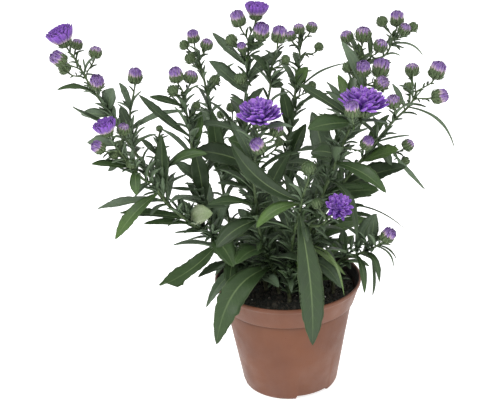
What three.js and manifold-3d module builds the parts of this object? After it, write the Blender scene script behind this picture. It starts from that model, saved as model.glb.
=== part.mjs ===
// Potted aster: a nursery pot of soil with leafy stems, violet flower heads and buds.
// Millimetres, +Z up. The pot stands on z = 0 around the z axis, and the front of the plant is toward -y.

import * as THREE from "three";
import { mergeVertices } from "three/addons/utils/BufferGeometryUtils.js";
import Module from "manifold-3d";

const wasm = await Module();
wasm.setup();

// Pot
const POT_HEIGHT = 94;
const RIM_RADIUS = 60;
const BASE_RADIUS = 39.5;
const COLLAR_HEIGHT = 19;
const COLLAR_STEP = 2.2;
const COLLAR_TAPER = 5.4;
const POT_WALL = 1.6;
const POT_FLOOR = 3;
const POT_SIDES = 28;
const NOTCH_COUNT = 3;
const NOTCH_WIDTH_DEG = 44;
const NOTCH_HEIGHT = 2.5;
const NOTCH_DEPTH = 9;
const FIRST_NOTCH_DEG = -63;
const DRAIN_RADIUS = 4;
const DRAIN_CIRCLE = 22;

// Soil
const SOIL_TOP = 85.5;
const SOIL_CRUMB = 0.9;
const SOIL_SIDES = 16;
const SEAT_GAP = 0.35;

// Stems
const FOOT_DEPTH = 22;
const FOOT_RADIUS = 2.2;
const HOLE_CLEARANCE = 0.9;
const STEM_START = 88;
const TIP_RADIUS = 1.0;
const SIDE_RADIUS = 1.2;
const STALK_RADIUS = 0.75;
const STEM_SIDES = 4;
const STALK_SIDES = 3;
const LONG_STALK = 9;
const CROWN_SIDES = 6;

// Leaves
const KEEL = 0.8;
const FOLD = 0.2;
const TOOTH = 0.06;
const WAVE = 0.1;
const GOLDEN_ANGLE = 137.5;

// How far a blade keeps from its neighbours
const CLEAR_OF_BLADE = 3.4;
const CLEAR_OF_STEM = 1.9;
const CLEAR_OF_HEAD = 1.6;
const SAMPLE_STEP = 4;
const OWN_SHARE = 0.4;

// Colours
const VIOLET = "#6a35b8";
const LEAF_GREEN = "#47633c";
const TERRACOTTA = "#a7654c";
const SOIL_BROWN = "#2a211c";

// Every shoot runs from its foot in the soil through these points. fill is the run of leaves that it carries
// besides the hand-placed ones: how many, from and to which share of its length, and how long and wide the
// lowest and the highest are.
const SHOOTS = {
  left: {
    foot: [-18, -6],
    through: [[-59, -15, 138], [-75, -21, 154], [-95, -29, 178], [-109, -30, 209], [-121, -26, 228],
      [-134, -20, 250], [-145, -14, 266], [-155, -10, 286]],
    fill: { count: 9, span: [0.2, 0.95], long: [42, 16], wide: [8, 3] },
  },
  left_mid: {
    foot: [-24, 8],
    through: [[-53, 3, 119], [-63, -1, 152], [-68, -3, 185], [-72, -5, 210], [-73, -7, 230], [-76, -9, 248],
      [-77, -11, 261]],
    fill: { count: 12, span: [0.09, 0.92], long: [60, 22], wide: [12, 4] },
  },
  left_back: {
    foot: [-16, 26],
    through: [[-42, 35, 112], [-50, 43, 151], [-55, 51, 188], [-58, 57, 216], [-61, 61, 237], [-64, 63, 255],
      [-67, 65, 265]],
    fill: { count: 10, span: [0.09, 0.94], long: [60, 24], wide: [12, 4.5] },
  },
  centre: {
    foot: [-4, 8],
    through: [[-17, 4, 126], [-23, 6, 169], [-28, 8, 203], [-30, 10, 231], [-28, 10, 256], [-26, 12, 276],
      [-25, 14, 291]],
    fill: { count: 11, span: [0.09, 0.94], long: [62, 24], wide: [13, 5] },
  },
  back: {
    foot: [4, 28],
    through: [[-1, 34, 120], [4, 48, 160], [7, 60, 195], [11, 68, 219], [14, 74, 239], [17, 78, 255],
      [17, 80, 265]],
    fill: { count: 9, span: [0.09, 0.94], long: [60, 22], wide: [13, 4.5] },
  },
  right_back: {
    foot: [14, 18],
    through: [[13, 24, 120], [28, 28, 158], [41, 29, 192], [51, 33, 217], [57, 35, 239], [60, 35, 259],
      [63, 35, 272]],
    fill: { count: 10, span: [0.09, 0.94], long: [60, 24], wide: [13, 4.5] },
  },
  right_mid: {
    foot: [18, 2],
    through: [[20, 2, 129], [32, -2, 170], [44, -5, 205], [54, -7, 231], [60, -7, 249], [64, -7, 259]],
    fill: { count: 12, span: [0.12, 0.94], long: [60, 26], wide: [13, 5] },
  },
  right: {
    foot: [26, -10],
    through: [[20, -14, 132], [38, -23, 175], [57, -25, 202], [70, -23, 218], [83, -19, 232], [96, -13, 242],
      [102, -7, 250]],
    fill: { count: 10, span: [0.14, 0.95], long: [56, 20], wide: [11, 4] },
  },
  front_left: {
    foot: [-8, -14],
    through: [[-21, -34, 143], [-24, -48, 179], [-25, -62, 209], [-23, -72, 233], [-22, -78, 247]],
    fill: { count: 11, span: [0.15, 0.94], long: [48, 24], wide: [12, 5] },
  },
  front_right: {
    foot: [10, -18],
    through: [[16, -28, 142], [27, -40, 182], [36, -51, 211], [43, -59, 234], [47, -65, 247], [52, -69, 255]],
    fill: { count: 11, span: [0.16, 0.94], long: [54, 24], wide: [12, 5] },
  },
  front: {
    foot: [0, -28],
    through: [[3, -40, 144], [7, -56, 169], [10, -70, 192], [14, -82, 211]],
    fill: { count: 9, span: [0.14, 0.92], long: [38, 24], wide: [11, 5] },
  },
  right_low: {
    foot: [36, -16],
    through: [[41, -21, 116], [53, -37, 129], [63, -49, 139], [69, -55, 146]],
    fill: { count: 7, span: [0.3, 0.9], long: [42, 22], wide: [9, 4] },
  },
  back_left: {
    foot: [-18, 36],
    through: [[-24, 54, 126], [-33, 73, 156], [-39, 85, 181], [-41, 91, 198]],
    fill: { count: 6, span: [0.09, 0.94], long: [50, 28], wide: [13, 6] },
  },
  back_right: {
    foot: [22, 36],
    through: [[34, 56, 124], [45, 75, 153], [54, 87, 178], [59, 93, 194]],
    fill: { count: 6, span: [0.09, 0.94], long: [50, 28], wide: [13, 6] },
  },
};

// Side shoots: which stem carries each, and from what share of its length
const SIDE_SHOOTS = {
  left_upright: {
    on: "left",
    at: 0.58,
    through: [[-117, -22, 219], [-118, -10, 231], [-119, 2, 241], [-116, 14, 253]],
  },
  left_low: {
    on: "left",
    at: 0.5,
    through: [[-108, -38, 199], [-116, -46, 213], [-122, -52, 225], [-127, -56, 236]],
  },
  left_shoot: { on: "left", at: 0.45, through: [[-95, -21, 191], [-97, -15, 213], [-97, -13, 225]] },
  centre_side: {
    on: "centre",
    at: 0.56,
    through: [[-17, 4, 229], [-10, 4, 253], [-9, 2, 270], [-4, 0, 284]],
  },
  right_back_side: {
    on: "right_back",
    at: 0.82,
    through: [[71, 47, 260], [85, 59, 261], [91, 67, 267], [93, 71, 272]],
  },
  right_side: { on: "right", at: 0.54, through: [[77, -17, 205], [85, -15, 205]] },
  front_side: { on: "front", at: 0.58, through: [[22, -68, 169], [30, -78, 181]] },
};

// Flower heads: the shoot and the share of its length where the stalk leaves it, the form, the diameter,
// the point where the stalk meets the head, and the way the head faces
const HEADS = [
  ["left", 0.99, "brush", 24, [-162, -8, 297.5], [-0.35, -0.1, 1]],
  ["left", 0.97, "tipped", 10, [-158, 10, 290], [0.35, 0.2, 1]],
  ["left", 0.92, "tipped", 11, [-143, 2, 285], [0.25, 0, 1]],
  ["left", 0.95, "barrel", 12.5, [-163, -18, 288], [-0.7, -0.4, 0.7]],
  ["left", 0.92, "green", 11, [-163, -4, 276], [-0.6, 0.2, 0.7]],
  ["left", 0.83, "barrel", 12.5, [-140, -23, 269], [0.1, -0.5, 0.8]],
  ["left_upright", 0.98, "barrel", 12.5, [-115, 16, 259], [0.1, 0, 1]],
  ["left_low", 0.95, "brush", 20, [-130, -56, 242], [-0.3, -0.05, 1]],
  ["left_low", 0.78, "tipped", 11, [-121, -46, 239], [0.15, -0.1, 1]],
  ["left_low", 0.8, "barrel", 10.5, [-135, -56, 231], [-0.6, -0.3, 0.6]],
  ["left_low", 0.58, "green", 9, [-127, -50, 223], [-0.3, -0.3, 0.8]],
  ["left_low", 0.5, "green", 9, [-124, -36, 224], [-0.2, 0.3, 0.9]],
  ["left_low", 0.4, "green", 9, [-117, -48, 214], [0.2, -0.3, 0.9]],
  ["left_shoot", 0.98, "green", 6, [-96, -13, 229], [0, 0, 1]],
  ["left_mid", 0.99, "barrel", 12, [-80, -13, 268], [-0.15, -0.1, 1]],
  ["left_mid", 0.94, "tipped", 12, [-71, -7, 265], [0.2, 0, 1]],
  ["left_mid", 0.92, "green", 9.5, [-82, -21, 262], [-0.4, -0.5, 0.7]],
  ["left_mid", 0.78, "green", 7, [-68, -3, 243], [0.3, 0, 0.9]],
  ["left_back", 0.99, "barrel", 11, [-69, 65, 276], [-0.1, 0, 1]],
  ["left_back", 0.96, "green", 9.5, [-75, 67, 271], [-0.6, 0.1, 0.8]],
  ["left_back", 0.92, "tipped", 11, [-60, 59, 272], [0.3, -0.1, 1]],
  ["left_back", 0.85, "green", 10.5, [-71, 57, 262], [-0.4, -0.2, 0.9]],
  ["left_back", 0.73, "green", 9.5, [-54, 46, 247], [0.3, -0.3, 0.9]],
  ["centre", 0.99, "brush", 21, [-19, 18, 305.5], [0.12, 0.05, 1]],
  ["centre", 0.97, "barrel", 12.5, [-31, 11, 303], [-0.25, 0, 1]],
  ["centre", 0.93, "barrel", 13.5, [-16, -8, 298], [0.1, -0.35, 0.95]],
  ["centre", 0.9, "green", 10.5, [-36, 1, 292], [-0.5, -0.2, 0.8]],
  ["centre", 0.87, "barrel", 7.5, [-30, -9, 289], [-0.1, -0.3, 1]],
  ["centre", 0.76, "green", 10, [-32, -19, 268], [-0.1, -0.5, 0.8]],
  ["centre_side", 0.98, "barrel", 13, [-3, 0, 292], [0.2, 0, 1]],
  ["centre_side", 0.72, "green", 8, [1, -2, 277], [0.5, -0.2, 0.8]],
  ["back", 0.96, "tipped", 10, [11, 72, 273], [-0.3, -0.1, 1]],
  ["back", 0.99, "tipped", 10.5, [17, 80, 276], [0, 0, 1]],
  ["back", 0.98, "tipped", 10.5, [26, 81, 277], [0.4, 0, 1]],
  ["back", 0.87, "green", 8.5, [31, 66, 266], [0.4, -0.3, 0.9]],
  ["back", 0.64, "green", 8.5, [25, 66, 233], [0.3, -0.2, 0.9]],
  ["right_back", 0.96, "tipped", 11.5, [54, 36, 280], [-0.3, 0, 1]],
  ["right_back", 0.99, "tipped", 14.5, [65, 33, 281], [0.05, -0.1, 1]],
  ["right_back", 0.92, "tipped", 12.5, [76, 25, 275], [0.35, -0.2, 0.9]],
  ["right_back_side", 0.98, "green", 10.5, [86, 73, 282], [-0.4, 0, 1]],
  ["right_back_side", 0.99, "barrel", 12.5, [97, 75, 281], [0, 0, 1]],
  ["right_back_side", 0.86, "tipped", 12, [100, 63, 277], [0.3, -0.3, 0.9]],
  ["right_back_side", 0.92, "green", 9.5, [108, 74, 277], [0.6, 0, 0.8]],
  ["right_mid", 0.94, "green", 10.5, [52, -1, 267], [-0.4, 0.1, 1]],
  ["right_mid", 0.97, "barrel", 12.5, [61, -12, 267], [-0.05, -0.3, 1]],
  ["right_mid", 0.96, "barrel", 15, [74, -2, 262], [0.2, 0.1, 1]],
  ["right_mid", 0.9, "tipped", 13, [72, -19, 260], [0.3, -0.6, 0.7]],
  ["right", 0.99, "barrel", 14, [116, -4, 260], [0.35, 0, 0.95]],
  ["right", 0.95, "tipped", 12.5, [102, 17, 256], [0, 0.1, 1]],
  ["right", 0.9, "barrel", 12.5, [112, -20, 250], [0.95, -0.2, 0.25]],
  ["right", 0.84, "green", 9, [97, -5, 251], [-0.2, 0.3, 0.9]],
  ["right", 0.74, "tipped", 12.5, [82, -31, 248], [-0.1, -0.4, 0.9]],
  ["right_side", 0.98, "tipped", 10.5, [92, -15, 208], [0.7, 0, 0.6]],
  ["right_side", 0.9, "green", 8, [91, -12, 195], [0.8, 0, 0.4]],
  ["front_left", 0.99, "open", 34, [-20, -79, 253.5], [0.03, -0.15, 0.97]],
  ["front_left", 0.84, "tipped", 11.5, [-9, -71, 243], [0.3, -0.1, 0.9]],
  ["front_left", 0.82, "barrel", 12, [-19, -84, 236], [-0.4, -0.35, 0.85]],
  ["front_left", 0.72, "green", 7, [-7, -62, 232], [0.4, 0, 0.9]],
  ["front_right", 0.99, "open", 37, [54, -71, 255], [0.1, 0, 0.95]],
  ["front_right", 0.84, "barrel", 11.5, [45, -95, 264], [-0.05, -0.15, 1]],
  ["front_right", 0.65, "barrel", 10.5, [56, -61, 227], [0.45, -0.2, 0.8]],
  ["front", 0.99, "green", 12, [14, -88, 221], [0, -0.55, 0.8]],
  ["front_side", 0.7, "green", 9, [21, -85, 192], [-0.3, -0.4, 0.9]],
  ["front_side", 0.98, "open", 22, [35, -85, 189], [0.1, -0.65, 0.6]],
  ["right_low", 0.98, "barrel", 12, [72, -58, 150], [0.5, -0.2, 0.8]],
  ["back_left", 0.98, "green", 10, [-41, 94, 206], [-0.1, 0.1, 1]],
  ["back_left", 0.9, "green", 9, [-49, 99, 199], [-0.5, 0.4, 0.8]],
  ["back_left", 0.84, "tipped", 11.5, [-34, 101, 194], [0.3, 0.6, 0.8]],
  ["back_right", 0.98, "brush", 18, [61, 96, 201], [0.1, 0.2, 1]],
  ["back_right", 0.88, "green", 10, [49, 97, 192], [-0.3, 0.4, 0.9]],
  ["back_right", 0.84, "green", 9, [65, 103, 184], [0.4, 0.5, 0.7]],
];

// Leaves that stand out: the shoot and the share of its length where they leave it, the tip, the width,
// how far they arch as a share of their length, and how far they face the front instead of up
const LEAVES = [
  ["left", 0.47, [-133, -50, 156], 10, 0.07, 0.5],
  ["left", 0.44, [-149, -18, 168], 9, 0.05, 0.3],
  ["left", 0.36, [-130, -46, 176], 9, 0.03, 0.4],
  ["left", 0.32, [-112, -38, 163], 7, 0.03, 0.3],
  ["left", 0.86, [-170, -25, 269], 6, 0.12, 0.3],
  ["left", 0.78, [-127, -28, 270], 13, 0.05, 0.7],
  ["left", 0.72, [-158, -38, 261], 6, -0.06, 0.3],
  ["left", 0.34, [-57, -51, 175], 14, 0.06, 0.9],
  ["left", 0.22, [-102, -53, 117], 13, -0.09, 0.6],
  ["left", 0.24, [-43, -51, 129], 15, 0.12, 0.7],
  ["left", 0.17, [-48, -49, 108], 10, 0.12, 0.7],
  ["left_low", 0.5, [-145, -64, 224], 8, 0.03, 0.4],
  ["left_low", 0.45, [-113, -60, 196], 8, 0.1, 0.6],
  ["left_shoot", 0.04, [-94, -25, 231], 10, 0.02, 1],
  ["left_shoot", 0.4, [-59, -29, 215], 10, 0.14, 0.4],
  ["left_mid", 0.69, [-110, -18, 261], 8, -0.03, 0.5],
  ["left_mid", 0.86, [-102, -14, 257], 6, 0.04, 0.5],
  ["left_mid", 0.42, [-70, -21, 216], 13, 0.03, 0.8],
  ["centre", 0.84, [-53, 23, 296], 7, -0.02, 0.5],
  ["centre", 0.72, [-56, -4, 281], 11, 0.02, 0.7],
  ["centre_side", 0.6, [-24, -18, 288], 9, 0.08, 0.7],
  ["centre", 0.78, [1, 8, 283], 9, 0.04, 0.8],
  ["front_left", 0.22, [-59, -65, 70], 19, 0.24, 1],
  ["front_left", 0.5, [-61, -59, 186], 8, 0.08, 0.3],
  ["front", 0.76, [-25, -72, 171], 9, 0.14, 0.6],
  ["front_left", 0.43, [-56, -59, 150], 13, 0.1, 0.6],
  ["front_left", 0.3, [-42, -61, 136], 14, 0.12, 0.5],
  ["left", 0.1, [-9, -60, 115], 9, 0.04, 0.6],
  ["front", 0.78, [-41, -75, 241], 12, -0.1, 0.7],
  ["front", 0.66, [15, -84, 76], 17, 0.1, 1],
  ["front", 0.2, [1, -52, 105], 4.5, 0.3, 0.5],
  ["front_right", 0.93, [8, -60, 279], 7, 0.01, 0.6],
  ["front_right", 0.88, [14, -82, 251], 14, 0.05, 0.6],
  ["front_right", 0.58, [71, -81, 199], 11, 0.1, 0.6],
  ["front_right", 0.5, [49, -85, 164], 6, 0.28, 0.5],
  ["front_right", 0.2, [40, -57, 110], 12, 0.2, 0.5],
  ["front_right", 0.26, [43, -56, 121], 4.5, 0.06, 0.4],
  ["right_back", 0.66, [44, 19, 259], 9, 0.05, 0.7],
  ["right_back_side", 0.8, [119, 72, 256], 2.5, 0.16, 0.3],
  ["right", 0.87, [130, -22, 210], 3.2, 0.16, 0.4],
  ["right", 0.5, [84, -49, 220], 13, 0.02, 0.5],
  ["right", 0.4, [92, -31, 199], 15, 0.04, 0.5],
  ["right", 0.38, [69, -47, 187], 13, 0.03, 0.8],
  ["right_side", 0.9, [107, -32, 180], 4.5, -0.03, 0.4],
  ["right_low", 0.6, [68, -47, 168], 11, 0.06, 0.6],
  ["right_low", 0.82, [66, -61, 174], 8, 0.04, 0.8],
  ["right_low", 0.6, [57, -61, 107], 5, 0.3, 0.5],
  ["right_low", 0.7, [68, -67, 119], 5, 0.3, 0.5],
  ["front_right", 0.62, [19, -35, 216], 14, 0.06, 0.7],
  ["back", 0.44, [17, 46, 206], 13, 0.03, 0.9],
  ["back", 0.72, [23, 62, 253], 10, 0.02, 0.9],
  ["left_mid", 0.46, [-92, -8, 180], 4, -0.02, 0.4],
  ["left", 0.27, [-88, -39, 155], 3.5, 0, 0.4],
  ["left_upright", 0.75, [-125, -8, 268], 6, 0.05, 0.7],
  ["left_low", 0.96, [-149, -56, 239], 10, 0.06, 0.6],
  ["left_mid", 0.6, [-64, 3, 239], 10, 0.05, 0.8],
  ["centre", 0.5, [-44, -7, 218], 13, 0.05, 0.8],
  ["centre", 0.42, [-36, -13, 193], 12, 0.08, 0.8],
  ["front", 0.35, [-15, -55, 202], 11, 0.08, 0.8],
  ["right_mid", 0.9, [45, -5, 288], 8, 0.05, 0.7],
  ["back", 0.5, [1, 66, 235], 10, 0.04, 0.8],
  ["right_back", 0.42, [23, 20, 229], 16, 0.05, 0.8],
  ["centre", 0.3, [5, -4, 206], 12, 0.06, 0.8],
  ["centre", 0.36, [-46, -2, 199], 13, 0.06, 0.8],
  ["left_mid", 0.3, [-45, 6, 169], 12, 0.08, 0.8],
  ["centre", 0.45, [-72, 6, 205], 16, 0.06, 0.8],
  ["right_mid", 0.42, [67, -20, 171], 11, 0.1, 0.6],
  ["left_back", 0.4, [-41, 60, 169], 12, 0.1, 0.8],
  ["left_mid", 0.84, [-118, -18, 233], 6, 0.1, 0.4],
  ["left_shoot", 0.6, [-111, -20, 227], 6, 0, 0.4],
  ["centre", 0.54, [-72, 0, 229], 7, 0.12, 0.4],
  ["left_back", 0.42, [-57, 50, 223], 12, 0.03, 0.8],
  ["front_left", 0.85, [4, -78, 251], 7, 0.22, 0.4],
  ["front_left", 0.66, [10, -75, 231], 6, 0.1, 0.4],
];

const UP = new THREE.Vector3(0, 0, 1);
const FRONT = new THREE.Vector3(0, -0.92, 0.39);
const vector = (list) => new THREE.Vector3(list[0], list[1], list[2]);
const radians = THREE.MathUtils.degToRad;
const mix = THREE.MathUtils.lerp;

// A fixed run of numbers from 0 to 1, the same each time
let draw = 20261;
function random() {
  draw = (draw * 1664525 + 1013904223) % 4294967296;
  return draw / 4294967296;
}

// Solids

// A closed mesh through sections, each a ring of points or a single point. A ring may also be followed by one
// with twice its corners.
function loft(sections) {
  const points = sections.flat();
  const faces = [];
  let start = 0;
  for (let s = 0; s + 1 < sections.length; s += 1) {
    const here = sections[s].length;
    const next = sections[s + 1].length;
    const sides = Math.max(here, next);
    const following = start + here;
    const before = (j) => start + (here === sides ? j % sides : Math.floor((j * here) / sides) % here);
    const after = (j) => following + (next === sides ? j % sides : 0);
    for (let j = 0; j < sides; j += 1) {
      if (before(j) !== before(j + 1)) faces.push(before(j), before(j + 1), after(j + 1));
      if (next > 1) faces.push(before(j), after(j + 1), after(j));
    }
    start = following;
  }
  const first = sections[0].length;
  const last = sections.at(-1).length;
  for (let j = 1; j + 1 < first; j += 1) faces.push(0, j + 1, j);
  for (let j = 1; j + 1 < last; j += 1) faces.push(start, start + j, start + j + 1);
  const geometry = new THREE.BufferGeometry().setFromPoints(points);
  geometry.setIndex(faces);
  return geometry;
}

// Joins the shared vertices, drops empty triangles and turns the faces outward
function solid(geometry) {
  geometry.deleteAttribute("normal");
  geometry.deleteAttribute("uv");
  const merged = mergeVertices(geometry, 1e-4);
  const place = merged.getAttribute("position");
  const corner = (_, i) => new THREE.Vector3().fromBufferAttribute(place, i);
  const corners = Array.from({ length: place.count }, corner);
  const faces = [];
  let volume = 0;
  for (let i = 0; i < merged.index.count; i += 3) {
    const [a, b, c] = [merged.index.getX(i), merged.index.getX(i + 1), merged.index.getX(i + 2)];
    if (a === b || b === c || c === a) continue;
    faces.push([a, b, c]);
    volume += corners[a].dot(corners[b].clone().cross(corners[c]));
  }
  const triVerts = Uint32Array.from(faces.flatMap(([a, b, c]) => (volume > 0 ? [a, b, c] : [a, c, b])));
  const vertProperties = Float32Array.from(place.array);
  return new wasm.Manifold(new wasm.Mesh({ numProp: 3, vertProperties, triVerts }));
}

const fuse = (solids) => solids.reduce((whole, piece) => whole.add(piece));

// A direction square to the given one
function anySide(direction) {
  const away = Math.abs(direction.y) < 0.8 ? new THREE.Vector3(0, 1, 0) : new THREE.Vector3(1, 0, 0);
  return new THREE.Vector3().crossVectors(direction, away).normalize();
}

// A ring of corners around an axis: place(j) gives a corner's distance from the axis and its height along it
function ring(base, axis, across, sides, place) {
  const over = new THREE.Vector3().crossVectors(axis, across);
  return Array.from({ length: sides }, (_, j) => {
    const angle = (2 * Math.PI * j) / sides;
    const [radius, height] = place(j);
    const point = base.clone().addScaledVector(axis, height);
    point.addScaledVector(across, radius * Math.cos(angle));
    return point.addScaledVector(over, radius * Math.sin(angle));
  });
}

// Sections of a rod along a curve, from share to share of its length, with its radius at each
function rodSections(curve, stations, sides) {
  let across = anySide(curve.getTangent(stations[0][0]));
  return stations.map(([t, radius]) => {
    const tangent = curve.getTangent(t);
    across = across.clone().addScaledVector(tangent, -across.dot(tangent)).normalize();
    return ring(curve.getPoint(t), tangent, across, sides, () => [radius, 0]);
  });
}

// A rod whose radius goes evenly from one end to the other
function rod(curve, radii, sides, steps) {
  const station = (_, i) => [i / steps, mix(radii[0], radii[1], i / steps)];
  const stations = Array.from({ length: steps + 1 }, station);
  return solid(loft(rodSections(curve, stations, sides)));
}

// Sections of a body of revolution with [radius, height, flare] rings in shares of its size: every other
// corner of a flared ring stands out and up by the flare
function bodySections(base, axis, rings, size, sides, across = anySide(axis)) {
  return rings.map(([radius, height, flare = 0]) => {
    if (radius === 0) return [base.clone().addScaledVector(axis, height * size)];
    return ring(base, axis, across, sides, (j) => {
      const out = j % 2 ? flare : -flare;
      return [(radius + out) * size, (height + out) * size];
    });
  });
}

// Blades

// Share of the full width at t: a narrow foot, long nearly even sides, widest past the middle, a short point
const bladeWidth = (t) => 0.1 * (1 - t) + Math.sin(Math.PI * t ** 1.15) ** 0.75;

// A blade's midrib is an arch over the straight line from root to tip. Its upper face looks along the arch,
// or as far as facing says to the front.
function makeBlade(root, tip, width, rise, facing) {
  const chord = tip.clone().sub(root);
  const length = chord.length();
  chord.normalize();
  const bow = UP.clone().addScaledVector(chord, -chord.z);
  if (bow.length() < 0.15) bow.set(0, -1, 0).addScaledVector(chord, chord.y);
  bow.normalize();
  const middle = root.clone().lerp(tip, 0.5).addScaledVector(bow, 2 * rise * length);
  const midrib = new THREE.QuadraticBezierCurve3(root, middle, tip);
  const face = bow.clone().lerp(FRONT, facing).addScaledVector(chord, -chord.dot(FRONT) * facing);
  const side = new THREE.Vector3().crossVectors(chord, face).normalize();
  return { midrib, side, width, length };
}

function bladeSteps(length) {
  if (length < 24) return 2;
  if (length < 46) return 3;
  return length < 75 ? 4 : 6;
}

// A blade has a keel under its midrib and edges that stand above it, toothed and waved on a long leaf
function bladeSolid(blade) {
  const steps = bladeSteps(blade.length);
  const sections = [];
  for (let i = 0; i < steps; i += 1) {
    const t = i / steps;
    const swing = steps > 3 && i > 0 ? 2 * (i % 2) - 1 : 0;
    const half = 0.5 * blade.width * bladeWidth(t) * (1 + TOOTH * swing);
    const centre = blade.midrib.getPoint(t);
    const face = new THREE.Vector3().crossVectors(blade.side, blade.midrib.getTangent(t)).normalize();
    sections.push([
      centre.clone().addScaledVector(blade.side, half).addScaledVector(face, half * (FOLD + WAVE * swing)),
      centre.clone().addScaledVector(blade.side, -half).addScaledVector(face, half * (FOLD - WAVE * swing)),
      centre.clone().addScaledVector(face, -KEEL),
    ]);
  }
  sections.push([blade.midrib.getPoint(1)]);
  return solid(loft(sections));
}

// Points spread over a blade, from a little above its root, that must keep clear of its neighbours
function bladeSamples(blade) {
  const along = Math.ceil(blade.length / SAMPLE_STEP);
  const across = blade.width > 6 ? [-1, -0.5, 0, 0.5, 1] : [-1, 0, 1];
  const samples = [];
  for (let i = 1; i <= along; i += 1) {
    const t = i / along;
    const half = 0.5 * blade.width * bladeWidth(t);
    for (const share of across) {
      samples.push(blade.midrib.getPoint(t).addScaledVector(blade.side, half * share));
    }
  }
  return samples;
}

// What a blade must keep clear of: balls along the stems and heads, and the blades already placed
const taken = [];
const take = (point, radius, owner) => taken.push([point.x, point.y, point.z, radius, owner]);

// The pot, seen as a wall from the axis out, and the soil in it
function clearOfPot(point) {
  const radius = Math.hypot(point.x, point.y);
  if (radius < RIM_RADIUS - 5) return point.z > SOIL_TOP + 3;
  if (radius < RIM_RADIUS + 2.5) return point.z > POT_HEIGHT + 2;
  return true;
}

// A blade may meet its own stem and what grows on it only near its root
function isClear(blade, owner) {
  return bladeSamples(blade).every((point, i, samples) => {
    const outer = i > OWN_SHARE * samples.length;
    return clearOfPot(point) && taken.every(([x, y, z, radius, other]) => {
      if (other === owner && !outer) return true;
      const [dx, dy, dz] = [point.x - x, point.y - y, point.z - z];
      return dx * dx + dy * dy + dz * dz >= radius * radius;
    });
  });
}

// Stems

const smoothCurve = (points) => new THREE.CatmullRomCurve3(points, false, "catmullrom", 0.5);
const shoots = {};
for (const [name, shoot] of Object.entries(SHOOTS)) {
  const foot = new THREE.Vector3(shoot.foot[0], shoot.foot[1], STEM_START);
  const first = vector(shoot.through[0]);
  const rising = foot.clone().lerp(first, 0.12).setZ(STEM_START + 12);
  const curve = smoothCurve([foot, rising, ...shoot.through.map(vector)]);
  shoots[name] = { curve, stem: name, radii: [FOOT_RADIUS, TIP_RADIUS], steps: shoot.through.length + 3 };
}

// A point on a shoot's own axis, which is straight from section to section
function axisPoint(name, t) {
  const { curve, steps } = shoots[name];
  const section = Math.min(Math.floor(t * steps), steps - 1);
  return curve.getPoint(section / steps).lerp(curve.getPoint((section + 1) / steps), t * steps - section);
}

for (const [name, shoot] of Object.entries(SIDE_SHOOTS)) {
  const start = axisPoint(shoot.on, shoot.at);
  const curve = smoothCurve([start, ...shoot.through.map(vector)]);
  shoots[name] = { curve, stem: shoot.on, radii: [SIDE_RADIUS, TIP_RADIUS], steps: shoot.through.length + 1 };
}
for (const shoot of Object.values(shoots)) {
  const length = shoot.curve.getLength();
  const balls = Math.ceil(length / 3);
  for (let i = 0; i <= balls; i += 1) {
    const t = i / balls;
    take(shoot.curve.getPoint(t), mix(shoot.radii[0], shoot.radii[1], t) + CLEAR_OF_STEM, shoot.stem);
  }
}

// Flower heads

const CUP = {
  green: [[0.42, 0.2], [0.42, 0.6, 0.05], [0, 0.86]],
  seat: [[0.42, 0.18], [0.5, 0.48, 0.06], [0, 0.36]],
};
const SEAT = 0.36;
const CROWN = {
  barrel: [[0, 0], [0.4, 0.15], [0.4, 0.48], [0, 0.66]],
  tipped: [[0, 0], [0.4, 0.15], [0.3, 0.36], [0, 0.44]],
};
const CUP_SIZE = { open: 0.34, brush: 0.52 };

function cupDiameter(head) {
  return head.size * (CUP_SIZE[head.form] ?? 1);
}

// A bloom's petals lie in layers of as many petals, lowest layer first. Each petal has so many corners: the
// first is the notch before it and the others are its tip. A waist is where a layer's petals leave the body.
// Everything is [radius, height] in shares of the bloom's diameter.
const BLOOM = {
  open: {
    petals: 10,
    corners: 3,
    waists: [[0.13, 0.07], [0.15, 0.16], [0.12, 0.24], [0.06, 0.31]],
    layers: [{ notch: [0.28, 0.13], tip: [0.5, 0.22] }, { notch: [0.25, 0.24], tip: [0.42, 0.34] },
      { notch: [0.17, 0.33], tip: [0.29, 0.43] }],
    top: 0.34,
  },
  brush: {
    petals: 11,
    corners: 2,
    waists: [[0.24, 0.08], [0.24, 0.27], [0.1, 0.33]],
    layers: [{ notch: [0.38, 0.28], tip: [0.5, 0.41] }, { notch: [0.24, 0.37], tip: [0.34, 0.48] }],
    top: 0.37,
  },
};

function bloomSolid(head) {
  const { petals, corners, waists, layers, top } = BLOOM[head.form];
  const seat = head.base.clone().addScaledVector(head.face, SEAT * cupDiameter(head) + SEAT_GAP);
  const across = anySide(head.face);
  const around = (place) => ring(seat, head.face, across, petals * corners, (j) => {
    const [radius, height] = place(j);
    return [radius * head.size, height * head.size];
  });
  const sections = [[seat], around(() => waists[0])];
  layers.forEach(({ notch, tip }, layer) => {
    sections.push(around((j) => ((j + layer) % corners ? tip : notch)));
    sections.push(around(() => waists[layer + 1]));
  });
  sections.push([seat.clone().addScaledVector(head.face, top * head.size)]);
  return solid(loft(sections));
}

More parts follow.
